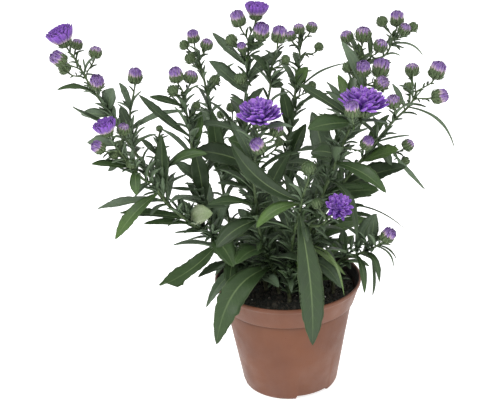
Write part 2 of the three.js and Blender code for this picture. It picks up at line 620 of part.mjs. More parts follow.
const heads = HEADS.map(([shoot, at, form, size, base, face]) => ({
  shoot, at, form, size, base: vector(base), face: vector(face).normalize(), stem: shoots[shoot].stem,
}));
for (const head of heads) {
  const cup = cupDiameter(head);
  take(head.base.clone().addScaledVector(head.face, 0.3 * cup), 0.55 * cup + CLEAR_OF_HEAD, head.stem);
  if (head.form === "green") continue;
  const top = head.base.clone().addScaledVector(head.face, SEAT * cup + SEAT_GAP);
  if (head.form === "open") {
    for (let i = 0; i < 12; i += 1) {
      const out = anySide(head.face).applyAxisAngle(head.face, (i * Math.PI) / 6);
      const edge = top.clone().addScaledVector(out, 0.36 * head.size);
      edge.addScaledVector(head.face, 0.18 * head.size);
      take(edge, 0.17 * head.size + CLEAR_OF_HEAD, "petals");
    }
  }
  const reach = { open: 0.22, brush: 0.5, barrel: 0.48, tipped: 0.42 }[head.form] * head.size;
  const middle = { open: 0.2, brush: 0.36, barrel: 0.34, tipped: 0.12 }[head.form] * head.size;
  take(top.addScaledVector(head.face, middle), reach + CLEAR_OF_HEAD, "petals");
}

function stalkCurve(head) {
  const curve = shoots[head.shoot].curve;
  const start = axisPoint(head.shoot, head.at);
  const reach = 0.38 * start.distanceTo(head.base);
  const leaving = start.clone().addScaledVector(curve.getTangent(head.at), reach);
  const arriving = head.base.clone().addScaledVector(head.face, -reach);
  return new THREE.CubicBezierCurve3(start, leaving, arriving, head.base);
}

// A stalk and the cup or green bud that it swells into, in one body
function stalkSolid(head) {
  const curve = stalkCurve(head);
  const rings = head.form === "green" ? CUP.green : CUP.seat;
  const shares = head.base.distanceTo(curve.v0) > LONG_STALK ? [0, 0.5, 1] : [0, 1];
  const stalk = rodSections(curve, shares.map((t) => [t, STALK_RADIUS]), STALK_SIDES);
  const across = stalk.at(-1)[0].clone().sub(head.base).normalize();
  const cup = bodySections(head.base, head.face, rings, cupDiameter(head), 2 * STALK_SIDES, across);
  return solid(loft([...stalk, ...cup]));
}

for (const head of heads) {
  const curve = stalkCurve(head);
  for (let i = 1; i < 6; i += 1) take(curve.getPoint(i / 6), STALK_RADIUS + CLEAR_OF_STEM, head.stem);
}

// Leaves

const blades = [];
function place(candidates, owner) {
  for (const blade of candidates) {
    if (!isClear(blade, owner)) continue;
    for (const point of bladeSamples(blade)) take(point, CLEAR_OF_BLADE, owner);
    blades.push({ ...blade, owner });
    return true;
  }
  return false;
}

// A leaf that meets a neighbour is slid to the back or the front, then turned a little
const SLIDE = new THREE.Vector3(0, 0.92, -0.39);
const SLIDES = [0, -6, 6, -12, 12, -18, 18, -24, 24];
const LIFTS = [0, 5, -5, 10];
for (const [shoot, at, tip, width, rise, facing] of LEAVES) {
  const root = axisPoint(shoot, at);
  const candidates = LIFTS.flatMap((lift) => SLIDES.map((slide) => {
    const end = vector(tip).addScaledVector(SLIDE, slide).addScaledVector(UP, lift);
    return makeBlade(root, end, width, rise, facing);
  }));
  if (!place(candidates, shoots[shoot].stem)) console.error("no room for a large leaf on", shoot, tip);
}

// The other leaves follow the stem in a spiral, shorter, narrower and steeper toward its top, and one that
// meets a neighbour is turned to the side, up or down, or left out
const TURNS = [0, 18, -18, 36, -36, 54, -54];
const TILTS = [0, 14, -14];
for (const [name, { fill }] of Object.entries(SHOOTS)) {
  const start = 360 * random();
  for (let i = 0; i < fill.count; i += 1) {
    const share = i / (fill.count - 1);
    const at = mix(fill.span[0], fill.span[1], share ** 1.2);
    const root = axisPoint(name, at);
    const length = mix(fill.long[0], fill.long[1], share) * (0.85 + 0.3 * random());
    const width = mix(fill.wide[0], fill.wide[1], share) * (0.9 + 0.2 * random());
    const turn = start + GOLDEN_ANGLE * i;
    const tilt = mix(12, 48, share) + 14 * (random() - 0.5);
    const rise = 0.04 + 0.12 * random();
    const candidates = TILTS.flatMap((moreTilt) => TURNS.map((moreTurn) => {
      const angle = radians(turn + moreTurn);
      const pitch = radians(tilt + moreTilt);
      const level = Math.cos(pitch);
      const way = new THREE.Vector3(Math.cos(angle) * level, Math.sin(angle) * level, Math.sin(pitch));
      return makeBlade(root, root.clone().addScaledVector(way, length), width, rise, 0);
    }));
    place(candidates, name);
  }
}

// Pot and soil

// A solid of revolution around the z axis from [radius, height] pairs
function turned(outline, sides) {
  const geometry = new THREE.LatheGeometry(outline.map(([r, z]) => new THREE.Vector2(r, z)), sides);
  return geometry.rotateX(Math.PI / 2);
}

function cylinder(x, y, radius, low, high, sides) {
  const geometry = new THREE.CylinderGeometry(radius, radius, high - low, sides);
  return geometry.rotateX(Math.PI / 2).translate(x, y, (low + high) / 2);
}

const collarBottom = POT_HEIGHT - COLLAR_HEIGHT;
const wallTop = RIM_RADIUS - 0.4 - COLLAR_TAPER - COLLAR_STEP;
const collarInside = wallTop + COLLAR_STEP - POT_WALL;
const innerWall = [[wallTop - POT_WALL, collarBottom], [BASE_RADIUS - POT_WALL, POT_FLOOR + 1]];

function potSolid() {
  const outline = [
    [0, 0], [BASE_RADIUS - 4, 0], [BASE_RADIUS - 1.4, 0.8], [BASE_RADIUS, 3],
    [wallTop, collarBottom - 1], [wallTop + COLLAR_STEP, collarBottom],
    [RIM_RADIUS - 0.4, POT_HEIGHT - 3], [RIM_RADIUS, POT_HEIGHT - 2], [RIM_RADIUS, POT_HEIGHT],
    [RIM_RADIUS - POT_WALL, POT_HEIGHT], [collarInside, collarBottom + 1.5],
    innerWall[0], innerWall[1], [0, POT_FLOOR],
  ];
  let pot = solid(turned(outline, POT_SIDES));
  for (let i = 0; i < NOTCH_COUNT; i += 1) {
    const centre = radians(FIRST_NOTCH_DEG + (360 / NOTCH_COUNT) * i);
    const half = radians(NOTCH_WIDTH_DEG) / 2;
    const inner = BASE_RADIUS - NOTCH_DEPTH;
    const shape = new THREE.Shape();
    shape.absarc(0, 0, BASE_RADIUS + 6, centre - half, centre + half, false);
    shape.absarc(0, 0, inner, centre + half, centre - half, true);
    const settings = { depth: 2 * NOTCH_HEIGHT, bevelEnabled: false, curveSegments: 6 };
    const notch = new THREE.ExtrudeGeometry(shape, settings);
    pot = pot.subtract(solid(notch.translate(0, 0, -NOTCH_HEIGHT)));
    const [x, y] = [DRAIN_CIRCLE * Math.cos(centre), DRAIN_CIRCLE * Math.sin(centre)];
    pot = pot.subtract(solid(cylinder(x, y, DRAIN_RADIUS, -1, POT_FLOOR + 2, 6)));
  }
  return pot;
}

function soilSolid() {
  const topRadius = mix(collarInside, RIM_RADIUS - POT_WALL, 0.44) - 2 * SEAT_GAP;
  const outline = [
    [0, POT_FLOOR + 1.4], [innerWall[1][0] - 3 * SEAT_GAP, POT_FLOOR + 1.4],
    [innerWall[0][0] - 3 * SEAT_GAP, collarBottom - 0.6], [topRadius - 0.4, SOIL_TOP - 1.2],
    [topRadius * 0.68, SOIL_TOP], [topRadius * 0.34, SOIL_TOP], [0, SOIL_TOP],
  ];
  const geometry = turned(outline, SOIL_SIDES);
  const place = geometry.getAttribute("position");
  for (let i = 0; i < place.count; i += 1) {
    const [x, y, z] = [place.getX(i), place.getY(i), place.getZ(i)];
    if (z < SOIL_TOP - 0.5) continue;
    const crumb = Math.sin(0.31 * x + 1.1) * Math.cos(0.27 * y) + 0.6 * Math.sin(0.53 * x - 0.44 * y);
    place.setZ(i, z + (SOIL_CRUMB * crumb) / 1.6);
  }
  let soil = solid(geometry);
  for (const { foot: [x, y] } of Object.values(SHOOTS)) {
    const low = STEM_START - FOOT_DEPTH - 0.3;
    const hole = cylinder(x, y, FOOT_RADIUS + HOLE_CLEARANCE, low, STEM_START + 3, 5);
    soil = soil.subtract(solid(hole));
  }
  return soil;
}

// Nodes

function stemSolid(name) {
  const [x, y] = SHOOTS[name].foot;
  const pieces = [solid(cylinder(x, y, FOOT_RADIUS, STEM_START - FOOT_DEPTH, STEM_START + 0.5, 4))];
  for (const shoot of Object.values(shoots)) {
    if (shoot.stem === name) pieces.push(rod(shoot.curve, shoot.radii, STEM_SIDES, shoot.steps));
  }
  for (const head of heads.filter((each) => each.stem === name)) {
    pieces.push(stalkSolid(head));
  }
  for (const blade of blades.filter((each) => each.owner === name)) pieces.push(bladeSolid(blade));
  return fuse(pieces);
}

function crownSolid(head) {
  const seat = head.base.clone().addScaledVector(head.face, SEAT * head.size + SEAT_GAP);
  return solid(loft(bodySections(seat, head.face, CROWN[head.form], head.size, CROWN_SIDES)));
}

const plant = new THREE.Group();
function addNode(name, body, colour, roughness) {
  const mesh = body.getMesh();
  const geometry = new THREE.BufferGeometry();
  geometry.setAttribute("position", new THREE.BufferAttribute(Float32Array.from(mesh.vertProperties), 3));
  geometry.setIndex(Array.from(mesh.triVerts));
  geometry.computeVertexNormals();
  const material = new THREE.MeshStandardMaterial({ color: colour, roughness, metalness: 0 });
  const node = new THREE.Mesh(geometry, material);
  node.name = name;
  plant.add(node);
}

addNode("pot", potSolid(), TERRACOTTA, 0.55);
addNode("soil", soilSolid(), SOIL_BROWN, 0.95);
for (const name of Object.keys(SHOOTS)) {
  addNode(`stem_${name}`, stemSolid(name), LEAF_GREEN, 0.6);
  const coloured = heads.filter((head) => head.stem === name && head.form !== "green");
  const blooms = coloured.filter((head) => head.form in BLOOM);
  const buds = coloured.filter((head) => head.form in CROWN);
  blooms.forEach((head, i) => addNode(`bloom_${name}_${i + 1}`, bloomSolid(head), VIOLET, 0.7));
  buds.forEach((head, i) => addNode(`bud_${name}_${i + 1}`, crownSolid(head), VIOLET, 0.7));
}

export default plant;
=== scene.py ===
"""Potted aster: the looks of its pot, soil, leafy stems, flower heads and buds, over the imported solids."""

import bpy
import numpy as np
from bpy.props import FloatProperty, FloatVectorProperty, IntProperty, PointerProperty
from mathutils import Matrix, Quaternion, Vector


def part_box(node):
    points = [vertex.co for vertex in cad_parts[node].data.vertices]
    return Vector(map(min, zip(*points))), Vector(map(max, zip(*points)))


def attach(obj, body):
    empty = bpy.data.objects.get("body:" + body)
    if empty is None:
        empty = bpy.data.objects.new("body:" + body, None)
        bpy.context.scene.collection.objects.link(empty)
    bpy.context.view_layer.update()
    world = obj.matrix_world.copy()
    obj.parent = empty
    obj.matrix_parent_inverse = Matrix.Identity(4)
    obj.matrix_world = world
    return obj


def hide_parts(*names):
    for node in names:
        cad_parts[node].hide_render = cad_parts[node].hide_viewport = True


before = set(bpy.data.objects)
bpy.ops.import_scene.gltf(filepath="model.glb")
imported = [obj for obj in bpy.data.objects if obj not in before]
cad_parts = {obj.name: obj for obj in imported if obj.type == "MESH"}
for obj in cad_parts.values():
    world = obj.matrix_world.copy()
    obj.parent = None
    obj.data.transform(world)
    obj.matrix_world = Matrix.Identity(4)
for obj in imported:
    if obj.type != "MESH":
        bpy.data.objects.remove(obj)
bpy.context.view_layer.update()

bl_info = {
    "name": "Potted Aster",
    "version": (1, 0, 0),
    "blender": (4, 5, 0),
    "location": "3D View > Sidebar > Aster",
    "description": "Dresses the solids of a potted aster with fine leaves, petals, soil and plastic",
    "category": "Object",
}

# The plan is in millimetres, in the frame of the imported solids, and surfaces are written in metres.
MM = 0.001

# Every shoot runs from its foot in the soil through these points. fill is its run of leaves besides the
# listed ones: how many, from and to which share of its length, and how long and wide the lowest and the
# highest are.
SHOOTS = {
    "left": {
        "foot": (-18, -6),
        "through": [(-59, -15, 138), (-75, -21, 154), (-95, -29, 178), (-109, -30, 209), (-121, -26, 228),
                    (-134, -20, 250), (-145, -14, 266), (-155, -10, 286)],
        "fill": (9, (0.2, 0.95), (42, 16), (8, 3)),
    },
    "left_mid": {
        "foot": (-24, 8),
        "through": [(-53, 3, 119), (-63, -1, 152), (-68, -3, 185), (-72, -5, 210), (-73, -7, 230),
                    (-76, -9, 248), (-77, -11, 261)],
        "fill": (12, (0.09, 0.92), (60, 22), (12, 4)),
    },
    "left_back": {
        "foot": (-16, 26),
        "through": [(-42, 35, 112), (-50, 43, 151), (-55, 51, 188), (-58, 57, 216), (-61, 61, 237),
                    (-64, 63, 255), (-67, 65, 265)],
        "fill": (10, (0.09, 0.94), (60, 24), (12, 4.5)),
    },
    "centre": {
        "foot": (-4, 8),
        "through": [(-17, 4, 126), (-23, 6, 169), (-28, 8, 203), (-30, 10, 231), (-28, 10, 256),
                    (-26, 12, 276), (-25, 14, 291)],
        "fill": (11, (0.09, 0.94), (62, 24), (13, 5)),
    },
    "back": {
        "foot": (4, 28),
        "through": [(-1, 34, 120), (4, 48, 160), (7, 60, 195), (11, 68, 219), (14, 74, 239), (17, 78, 255),
                    (17, 80, 265)],
        "fill": (9, (0.09, 0.94), (60, 22), (13, 4.5)),
    },
    "right_back": {
        "foot": (14, 18),
        "through": [(13, 24, 120), (28, 28, 158), (41, 29, 192), (51, 33, 217), (57, 35, 239), (60, 35, 259),
                    (63, 35, 272)],
        "fill": (10, (0.09, 0.94), (60, 24), (13, 4.5)),
    },
    "right_mid": {
        "foot": (18, 2),
        "through": [(20, 2, 129), (32, -2, 170), (44, -5, 205), (54, -7, 231), (60, -7, 249), (64, -7, 259)],
        "fill": (12, (0.12, 0.94), (60, 26), (13, 5)),
    },
    "right": {
        "foot": (26, -10),
        "through": [(20, -14, 132), (38, -23, 175), (57, -25, 202), (70, -23, 218), (83, -19, 232),
                    (96, -13, 242), (102, -7, 250)],
        "fill": (10, (0.14, 0.95), (56, 20), (11, 4)),
    },
    "front_left": {
        "foot": (-8, -14),
        "through": [(-21, -34, 143), (-24, -48, 179), (-25, -62, 209), (-23, -72, 233), (-22, -78, 247)],
        "fill": (11, (0.15, 0.94), (48, 24), (12, 5)),
    },
    "front_right": {
        "foot": (10, -18),
        "through": [(16, -28, 142), (27, -40, 182), (36, -51, 211), (43, -59, 234), (47, -65, 247),
                    (52, -69, 255)],
        "fill": (11, (0.16, 0.94), (54, 24), (12, 5)),
    },
    "front": {
        "foot": (0, -28),
        "through": [(3, -40, 144), (7, -56, 169), (10, -70, 192), (14, -82, 211)],
        "fill": (9, (0.14, 0.92), (38, 24), (11, 5)),
    },
    "right_low": {
        "foot": (36, -16),
        "through": [(41, -21, 116), (53, -37, 129), (63, -49, 139), (69, -55, 146)],
        "fill": (7, (0.3, 0.9), (42, 22), (9, 4)),
    },
    "back_left": {
        "foot": (-18, 36),
        "through": [(-24, 54, 126), (-33, 73, 156), (-39, 85, 181), (-41, 91, 198)],
        "fill": (6, (0.09, 0.94), (50, 28), (13, 6)),
    },
    "back_right": {
        "foot": (22, 36),
        "through": [(34, 56, 124), (45, 75, 153), (54, 87, 178), (59, 93, 194)],
        "fill": (6, (0.09, 0.94), (50, 28), (13, 6)),
    },
}

# Side shoots: the shoot that carries each, the share of its length where, and its points
SIDE_SHOOTS = {
    "left_upright": ("left", 0.58, [(-117, -22, 219), (-118, -10, 231), (-119, 2, 241), (-116, 14, 253)]),
    "left_low": ("left", 0.5, [(-108, -38, 199), (-116, -46, 213), (-122, -52, 225), (-127, -56, 236)]),
    "left_shoot": ("left", 0.45, [(-95, -21, 191), (-97, -15, 213), (-97, -13, 225)]),
    "centre_side": ("centre", 0.56, [(-17, 4, 229), (-10, 4, 253), (-9, 2, 270), (-4, 0, 284)]),
    "right_back_side": ("right_back", 0.82, [(71, 47, 260), (85, 59, 261), (91, 67, 267), (93, 71, 272)]),
    "right_side": ("right", 0.54, [(77, -17, 205), (85, -15, 205)]),
    "front_side": ("front", 0.58, [(22, -68, 169), (30, -78, 181)]),
}

# Flower heads by the shoot that carries them: the share of its length where the stalk leaves it, the form,
# the diameter, the point where the stalk meets the head, and the way the head faces
HEADS = {
    "left": [
        (0.99, "brush", 24, (-162, -8, 297.5), (-0.35, -0.1, 1)),
        (0.97, "tipped", 10, (-158, 10, 290), (0.35, 0.2, 1)),
        (0.92, "tipped", 11, (-143, 2, 285), (0.25, 0, 1)),
        (0.95, "barrel", 12.5, (-163, -18, 288), (-0.7, -0.4, 0.7)),
        (0.92, "green", 11, (-163, -4, 276), (-0.6, 0.2, 0.7)),
        (0.83, "barrel", 12.5, (-140, -23, 269), (0.1, -0.5, 0.8)),
    ],
    "left_upright": [
        (0.98, "barrel", 12.5, (-115, 16, 259), (0.1, 0, 1)),
    ],
    "left_low": [
        (0.95, "brush", 20, (-130, -56, 242), (-0.3, -0.05, 1)),
        (0.78, "tipped", 11, (-121, -46, 239), (0.15, -0.1, 1)),
        (0.8, "barrel", 10.5, (-135, -56, 231), (-0.6, -0.3, 0.6)),
        (0.58, "green", 9, (-127, -50, 223), (-0.3, -0.3, 0.8)),
        (0.5, "green", 9, (-124, -36, 224), (-0.2, 0.3, 0.9)),
        (0.4, "green", 9, (-117, -48, 214), (0.2, -0.3, 0.9)),
    ],
    "left_shoot": [
        (0.98, "green", 6, (-96, -13, 229), (0, 0, 1)),
    ],
    "left_mid": [
        (0.99, "barrel", 12, (-80, -13, 268), (-0.15, -0.1, 1)),
        (0.94, "tipped", 12, (-71, -7, 265), (0.2, 0, 1)),
        (0.92, "green", 9.5, (-82, -21, 262), (-0.4, -0.5, 0.7)),
        (0.78, "green", 7, (-68, -3, 243), (0.3, 0, 0.9)),
    ],
    "left_back": [
        (0.99, "barrel", 11, (-69, 65, 276), (-0.1, 0, 1)),
        (0.96, "green", 9.5, (-75, 67, 271), (-0.6, 0.1, 0.8)),
        (0.92, "tipped", 11, (-60, 59, 272), (0.3, -0.1, 1)),
        (0.85, "green", 10.5, (-71, 57, 262), (-0.4, -0.2, 0.9)),
        (0.73, "green", 9.5, (-54, 46, 247), (0.3, -0.3, 0.9)),
    ],
    "centre": [
        (0.99, "brush", 21, (-19, 18, 305.5), (0.12, 0.05, 1)),
        (0.97, "barrel", 12.5, (-31, 11, 303), (-0.25, 0, 1)),
        (0.93, "barrel", 13.5, (-16, -8, 298), (0.1, -0.35, 0.95)),
        (0.9, "green", 10.5, (-36, 1, 292), (-0.5, -0.2, 0.8)),
        (0.87, "barrel", 7.5, (-30, -9, 289), (-0.1, -0.3, 1)),
        (0.76, "green", 10, (-32, -19, 268), (-0.1, -0.5, 0.8)),
    ],
    "centre_side": [
        (0.98, "barrel", 13, (-3, 0, 292), (0.2, 0, 1)),
        (0.72, "green", 8, (1, -2, 277), (0.5, -0.2, 0.8)),
    ],
    "back": [
        (0.96, "tipped", 10, (11, 72, 273), (-0.3, -0.1, 1)),
        (0.99, "tipped", 10.5, (17, 80, 276), (0, 0, 1)),
        (0.98, "tipped", 10.5, (26, 81, 277), (0.4, 0, 1)),
        (0.87, "green", 8.5, (31, 66, 266), (0.4, -0.3, 0.9)),
        (0.64, "green", 8.5, (25, 66, 233), (0.3, -0.2, 0.9)),
    ],
    "right_back": [
        (0.96, "tipped", 11.5, (54, 36, 280), (-0.3, 0, 1)),
        (0.99, "tipped", 14.5, (65, 33, 281), (0.05, -0.1, 1)),
        (0.92, "tipped", 12.5, (76, 25, 275), (0.35, -0.2, 0.9)),
    ],
    "right_back_side": [
        (0.98, "green", 10.5, (86, 73, 282), (-0.4, 0, 1)),
        (0.99, "barrel", 12.5, (97, 75, 281), (0, 0, 1)),
        (0.86, "tipped", 12, (100, 63, 277), (0.3, -0.3, 0.9)),
        (0.92, "green", 9.5, (108, 74, 277), (0.6, 0, 0.8)),
    ],
    "right_mid": [
        (0.94, "green", 10.5, (52, -1, 267), (-0.4, 0.1, 1)),
        (0.97, "barrel", 12.5, (61, -12, 267), (-0.05, -0.3, 1)),
        (0.96, "barrel", 15, (74, -2, 262), (0.2, 0.1, 1)),
        (0.9, "tipped", 13, (72, -19, 260), (0.3, -0.6, 0.7)),
    ],
    "right": [
        (0.99, "barrel", 14, (116, -4, 260), (0.35, 0, 0.95)),
        (0.95, "tipped", 12.5, (102, 17, 256), (0, 0.1, 1)),
        (0.9, "barrel", 12.5, (112, -20, 250), (0.95, -0.2, 0.25)),
        (0.84, "green", 9, (97, -5, 251), (-0.2, 0.3, 0.9)),
        (0.74, "tipped", 12.5, (82, -31, 248), (-0.1, -0.4, 0.9)),
    ],
    "right_side": [
        (0.98, "tipped", 10.5, (92, -15, 208), (0.7, 0, 0.6)),
        (0.9, "green", 8, (91, -12, 195), (0.8, 0, 0.4)),
    ],
    "front_left": [
        (0.99, "open", 34, (-20, -79, 253.5), (0.03, -0.15, 0.97)),
        (0.84, "tipped", 11.5, (-9, -71, 243), (0.3, -0.1, 0.9)),
        (0.82, "barrel", 12, (-19, -84, 236), (-0.4, -0.35, 0.85)),
        (0.72, "green", 7, (-7, -62, 232), (0.4, 0, 0.9)),
    ],
    "front_right": [
        (0.99, "open", 37, (54, -71, 255), (0.1, 0, 0.95)),
        (0.84, "barrel", 11.5, (45, -95, 264), (-0.05, -0.15, 1)),
        (0.65, "barrel", 10.5, (56, -61, 227), (0.45, -0.2, 0.8)),
    ],
    "front": [
        (0.99, "green", 12, (14, -88, 221), (0, -0.55, 0.8)),
    ],
    "front_side": [
        (0.7, "green", 9, (21, -85, 192), (-0.3, -0.4, 0.9)),
        (0.98, "open", 22, (35, -85, 189), (0.1, -0.65, 0.6)),
    ],
    "right_low": [
        (0.98, "barrel", 12, (72, -58, 150), (0.5, -0.2, 0.8)),
    ],
    "back_left": [
        (0.98, "green", 10, (-41, 94, 206), (-0.1, 0.1, 1)),
        (0.9, "green", 9, (-49, 99, 199), (-0.5, 0.4, 0.8)),
        (0.84, "tipped", 11.5, (-34, 101, 194), (0.3, 0.6, 0.8)),
    ],
    "back_right": [
        (0.98, "brush", 18, (61, 96, 201), (0.1, 0.2, 1)),
        (0.88, "green", 10, (49, 97, 192), (-0.3, 0.4, 0.9)),
        (0.84, "green", 9, (65, 103, 184), (0.4, 0.5, 0.7)),
    ],
}

# Leaves that stand out: the shoot and the share of its length where they leave it, the tip, the width, how
# far they arch as a share of their length, and how far they face the front instead of up. Some end with their
# green: blue green at 0, deep green at 0.4, leaf green at 0.7, young green at 1 and pale green at 1.25.
LEAVES = [
    ("left", 0.47, (-133, -50, 156), 10, 0.07, 0.5, 0.74),
    ("left", 0.44, (-149, -18, 168), 9, 0.05, 0.3, 0.15),
    ("left", 0.36, (-130, -46, 176), 9, 0.03, 0.4, 0.6),
    ("left", 0.32, (-112, -38, 163), 7, 0.03, 0.3, 0.65),
    ("left", 0.86, (-170, -25, 269), 6, 0.12, 0.3, 0.6),
    ("left", 0.78, (-127, -28, 270), 13, 0.05, 0.7, 0.1),
    ("left", 0.72, (-158, -38, 261), 6, -0.06, 0.3, 0.35),
    ("left", 0.34, (-57, -51, 175), 14, 0.06, 0.9, 1.25),
    ("left", 0.22, (-102, -53, 117), 13, -0.09, 0.6, 0.62),
    ("left", 0.24, (-43, -51, 129), 15, 0.12, 0.7, 0.65),
    ("left", 0.17, (-48, -49, 108), 10, 0.12, 0.7, 0.5),
    ("left_low", 0.5, (-145, -64, 224), 8, 0.03, 0.4, 0.65),
    ("left_low", 0.45, (-113, -60, 196), 8, 0.1, 0.6, 0.7),
    ("left_shoot", 0.04, (-94, -25, 231), 10, 0.02, 1, 0.45),
    ("left_shoot", 0.4, (-59, -29, 215), 10, 0.14, 0.4, 0.7),
    ("left_mid", 0.69, (-110, -18, 261), 8, -0.03, 0.5, 0.3),
    ("left_mid", 0.86, (-102, -14, 257), 6, 0.04, 0.5, 0.5),
    ("left_mid", 0.42, (-70, -21, 216), 13, 0.03, 0.8, 0.4),
    ("centre", 0.84, (-53, 23, 296), 7, -0.02, 0.5, 0.2),
    ("centre", 0.72, (-56, -4, 281), 11, 0.02, 0.7, 0.15),
    ("centre_side", 0.6, (-24, -18, 288), 9, 0.08, 0.7, 0.5),
    ("centre", 0.78, (1, 8, 283), 9, 0.04, 0.8),
    ("front_left", 0.22, (-59, -65, 70), 19, 0.24, 1, 0.56),
    ("front_left", 0.5, (-61, -59, 186), 8, 0.08, 0.3),
    ("front", 0.76, (-25, -72, 171), 9, 0.14, 0.6, 0.8),
    ("front_left", 0.43, (-56, -59, 150), 13, 0.1, 0.6, 0.45),
    ("front_left", 0.3, (-42, -61, 136), 14, 0.12, 0.5, 0.66),
    ("left", 0.1, (-9, -60, 115), 9, 0.04, 0.6),
    ("front", 0.78, (-41, -75, 241), 12, -0.1, 0.7, 0.42),
    ("front", 0.66, (15, -84, 76), 17, 0.1, 1),
    ("front", 0.2, (1, -52, 105), 4.5, 0.3, 0.5),
    ("front_right", 0.93, (8, -60, 279), 7, 0.01, 0.6, 0.45),
    ("front_right", 0.88, (14, -82, 251), 14, 0.05, 0.6, 0.62),
    ("front_right", 0.58, (71, -81, 199), 11, 0.1, 0.6, 0.65),
    ("front_right", 0.5, (49, -85, 164), 6, 0.28, 0.5),
    ("front_right", 0.2, (40, -57, 110), 12, 0.2, 0.5),
    ("front_right", 0.26, (43, -56, 121), 4.5, 0.06, 0.4, 1.1),
    ("right_back", 0.66, (44, 19, 259), 9, 0.05, 0.7, 0.9),
    ("right_back_side", 0.8, (119, 72, 256), 2.5, 0.16, 0.3),
    ("right", 0.87, (130, -22, 210), 3.2, 0.16, 0.4),
    ("right", 0.5, (84, -49, 220), 13, 0.02, 0.5, 0.8),
    ("right", 0.4, (92, -31, 199), 15, 0.04, 0.5, 0.4),
    ("right", 0.38, (69, -47, 187), 13, 0.03, 0.8),
    ("right_side", 0.9, (107, -32, 180), 4.5, -0.03, 0.4),
    ("right_low", 0.6, (68, -47, 168), 11, 0.06, 0.6),
    ("right_low", 0.82, (66, -61, 174), 8, 0.04, 0.8, 0.3),
    ("right_low", 0.6, (57, -61, 107), 5, 0.3, 0.5),
    ("right_low", 0.7, (68, -67, 119), 5, 0.3, 0.5),
    ("front_right", 0.62, (19, -35, 216), 14, 0.06, 0.7),
    ("back", 0.44, (17, 46, 206), 13, 0.03, 0.9),
    ("back", 0.72, (23, 62, 253), 10, 0.02, 0.9, 0.8),
    ("left_mid", 0.46, (-92, -8, 180), 4, -0.02, 0.4),
    ("left", 0.27, (-88, -39, 155), 3.5, 0, 0.4),
    ("left_upright", 0.75, (-125, -8, 268), 6, 0.05, 0.7),
    ("left_low", 0.96, (-149, -56, 239), 10, 0.06, 0.6),
    ("left_mid", 0.6, (-64, 3, 239), 10, 0.05, 0.8, 0.7),
    ("centre", 0.5, (-44, -7, 218), 13, 0.05, 0.8),
    ("centre", 0.42, (-36, -13, 193), 12, 0.08, 0.8),
    ("front", 0.35, (-15, -55, 202), 11, 0.08, 0.8),
    ("right_mid", 0.9, (45, -5, 288), 8, 0.05, 0.7),
    ("back", 0.5, (1, 66, 235), 10, 0.04, 0.8),
    ("right_back", 0.42, (23, 20, 229), 16, 0.05, 0.8),
    ("centre", 0.3, (5, -4, 206), 12, 0.06, 0.8),
    ("centre", 0.36, (-46, -2, 199), 13, 0.06, 0.8),
    ("left_mid", 0.3, (-45, 6, 169), 12, 0.08, 0.8),
    ("centre", 0.45, (-72, 6, 205), 16, 0.06, 0.8),
    ("right_mid", 0.42, (67, -20, 171), 11, 0.1, 0.6),
    ("left_back", 0.4, (-41, 60, 169), 12, 0.1, 0.8),
    ("left_mid", 0.84, (-118, -18, 233), 6, 0.1, 0.4),
    ("left_shoot", 0.6, (-111, -20, 227), 6, 0, 0.4),
    ("centre", 0.54, (-72, 0, 229), 7, 0.12, 0.4),
    ("left_back", 0.42, (-57, 50, 223), 12, 0.03, 0.8, 0.6),
    ("front_left", 0.85, (4, -78, 251), 7, 0.22, 0.4),
    ("front_left", 0.66, (10, -75, 231), 6, 0.1, 0.4),
]

# Smaller leaves among them, in the same terms, placed after the spirals of leaves
SMALL_LEAVES = [
    ("centre", 0.93, (-13, 8, 289), 7, 0.05, 0.7),
    ("centre", 0.6, (-15, -4, 258), 8, 0.08, 0.7),
    ("left_back", 0.5, (-44, 50, 215), 8, 0.08, 0.7),
    ("front_right", 0.34, (5, -44, 203), 9, 0.05, 0.7),
    ("centre", 0.44, (-57, 10, 186), 8, 0.06, 0.7),
    ("left_mid", 0.48, (-87, -12, 204), 8, 0.04, 0.7),
    ("right", 0.3, (60, -25, 166), 7, 0.08, 0.5),
    ("left", 0.76, (-154, -28, 251), 8, 0.04, 0.6),
    ("back", 0.42, (19, 46, 209), 10, 0.03, 0.8),
    ("back", 0.36, (13, 30, 191), 10, 0.05, 0.8),
    ("left_back", 0.44, (-53, 60, 199), 9, 0.03, 0.8),
    ("centre_side", 0.55, (1, 6, 257), 7, 0.06, 0.7),
    ("right_mid", 0.75, (69, 2, 228), 8, 0.05, 0.7),
    ("front_left", 0.72, (-41, -60, 252), 9, 0.05, 0.7),
    ("right", 0.62, (81, -30, 200), 7, 0.04, 0.6),
    ("left_mid", 0.36, (-79, -4, 183), 8, 0.05, 0.6),
    ("right_back", 0.78, (73, 38, 259), 7, 0.05, 0.7),
    ("left_low", 0.62, (-135, -48, 212), 6, 0.03, 0.5),
    ("front_right", 0.84, (74.5, -70, 248.5), 3.5, 0.12, 0.4),
    ("right", 0.62, (94, -35, 226.5), 2.2, 0.02, 0.4),
    ("back", 0.68, (55, 62, 255), 2.4, 0.1, 0.3),
    ("front_right", 0.26, (41, -72, 110), 2.2, 0.3, 0.4, 1.1),
    ("right_low", 0.8, (63.5, -62, 104.5), 2.4, 0.3, 0.4),
    ("right_low", 0.93, (79.5, -60, 128.5), 2, 0.2, 0.4),
    ("right_low", 0.96, (81, -60, 135.5), 1.8, 0.15, 0.4),
    ("right", 0.34, (90, -45, 152.5), 1.4, 0.15, 0.4),
    ("left", 0.12, (-66.5, -48, 93), 8, 0.2, 0.6),
    ("left_upright", 0.3, (-126, -4, 247), 8, 0.04, 0.7),
    ("left_mid", 0.72, (-83, -8, 246), 5, 0.04, 0.5),
    ("left_back", 0.6, (-66, 40, 246), 6, 0.05, 0.6),
    ("right_mid", 0.62, (60, -10, 226), 8, 0.05, 0.7),
]

# The leaf whose tip is torn off on one side
TORN_LEAF = ("left", 0.22)

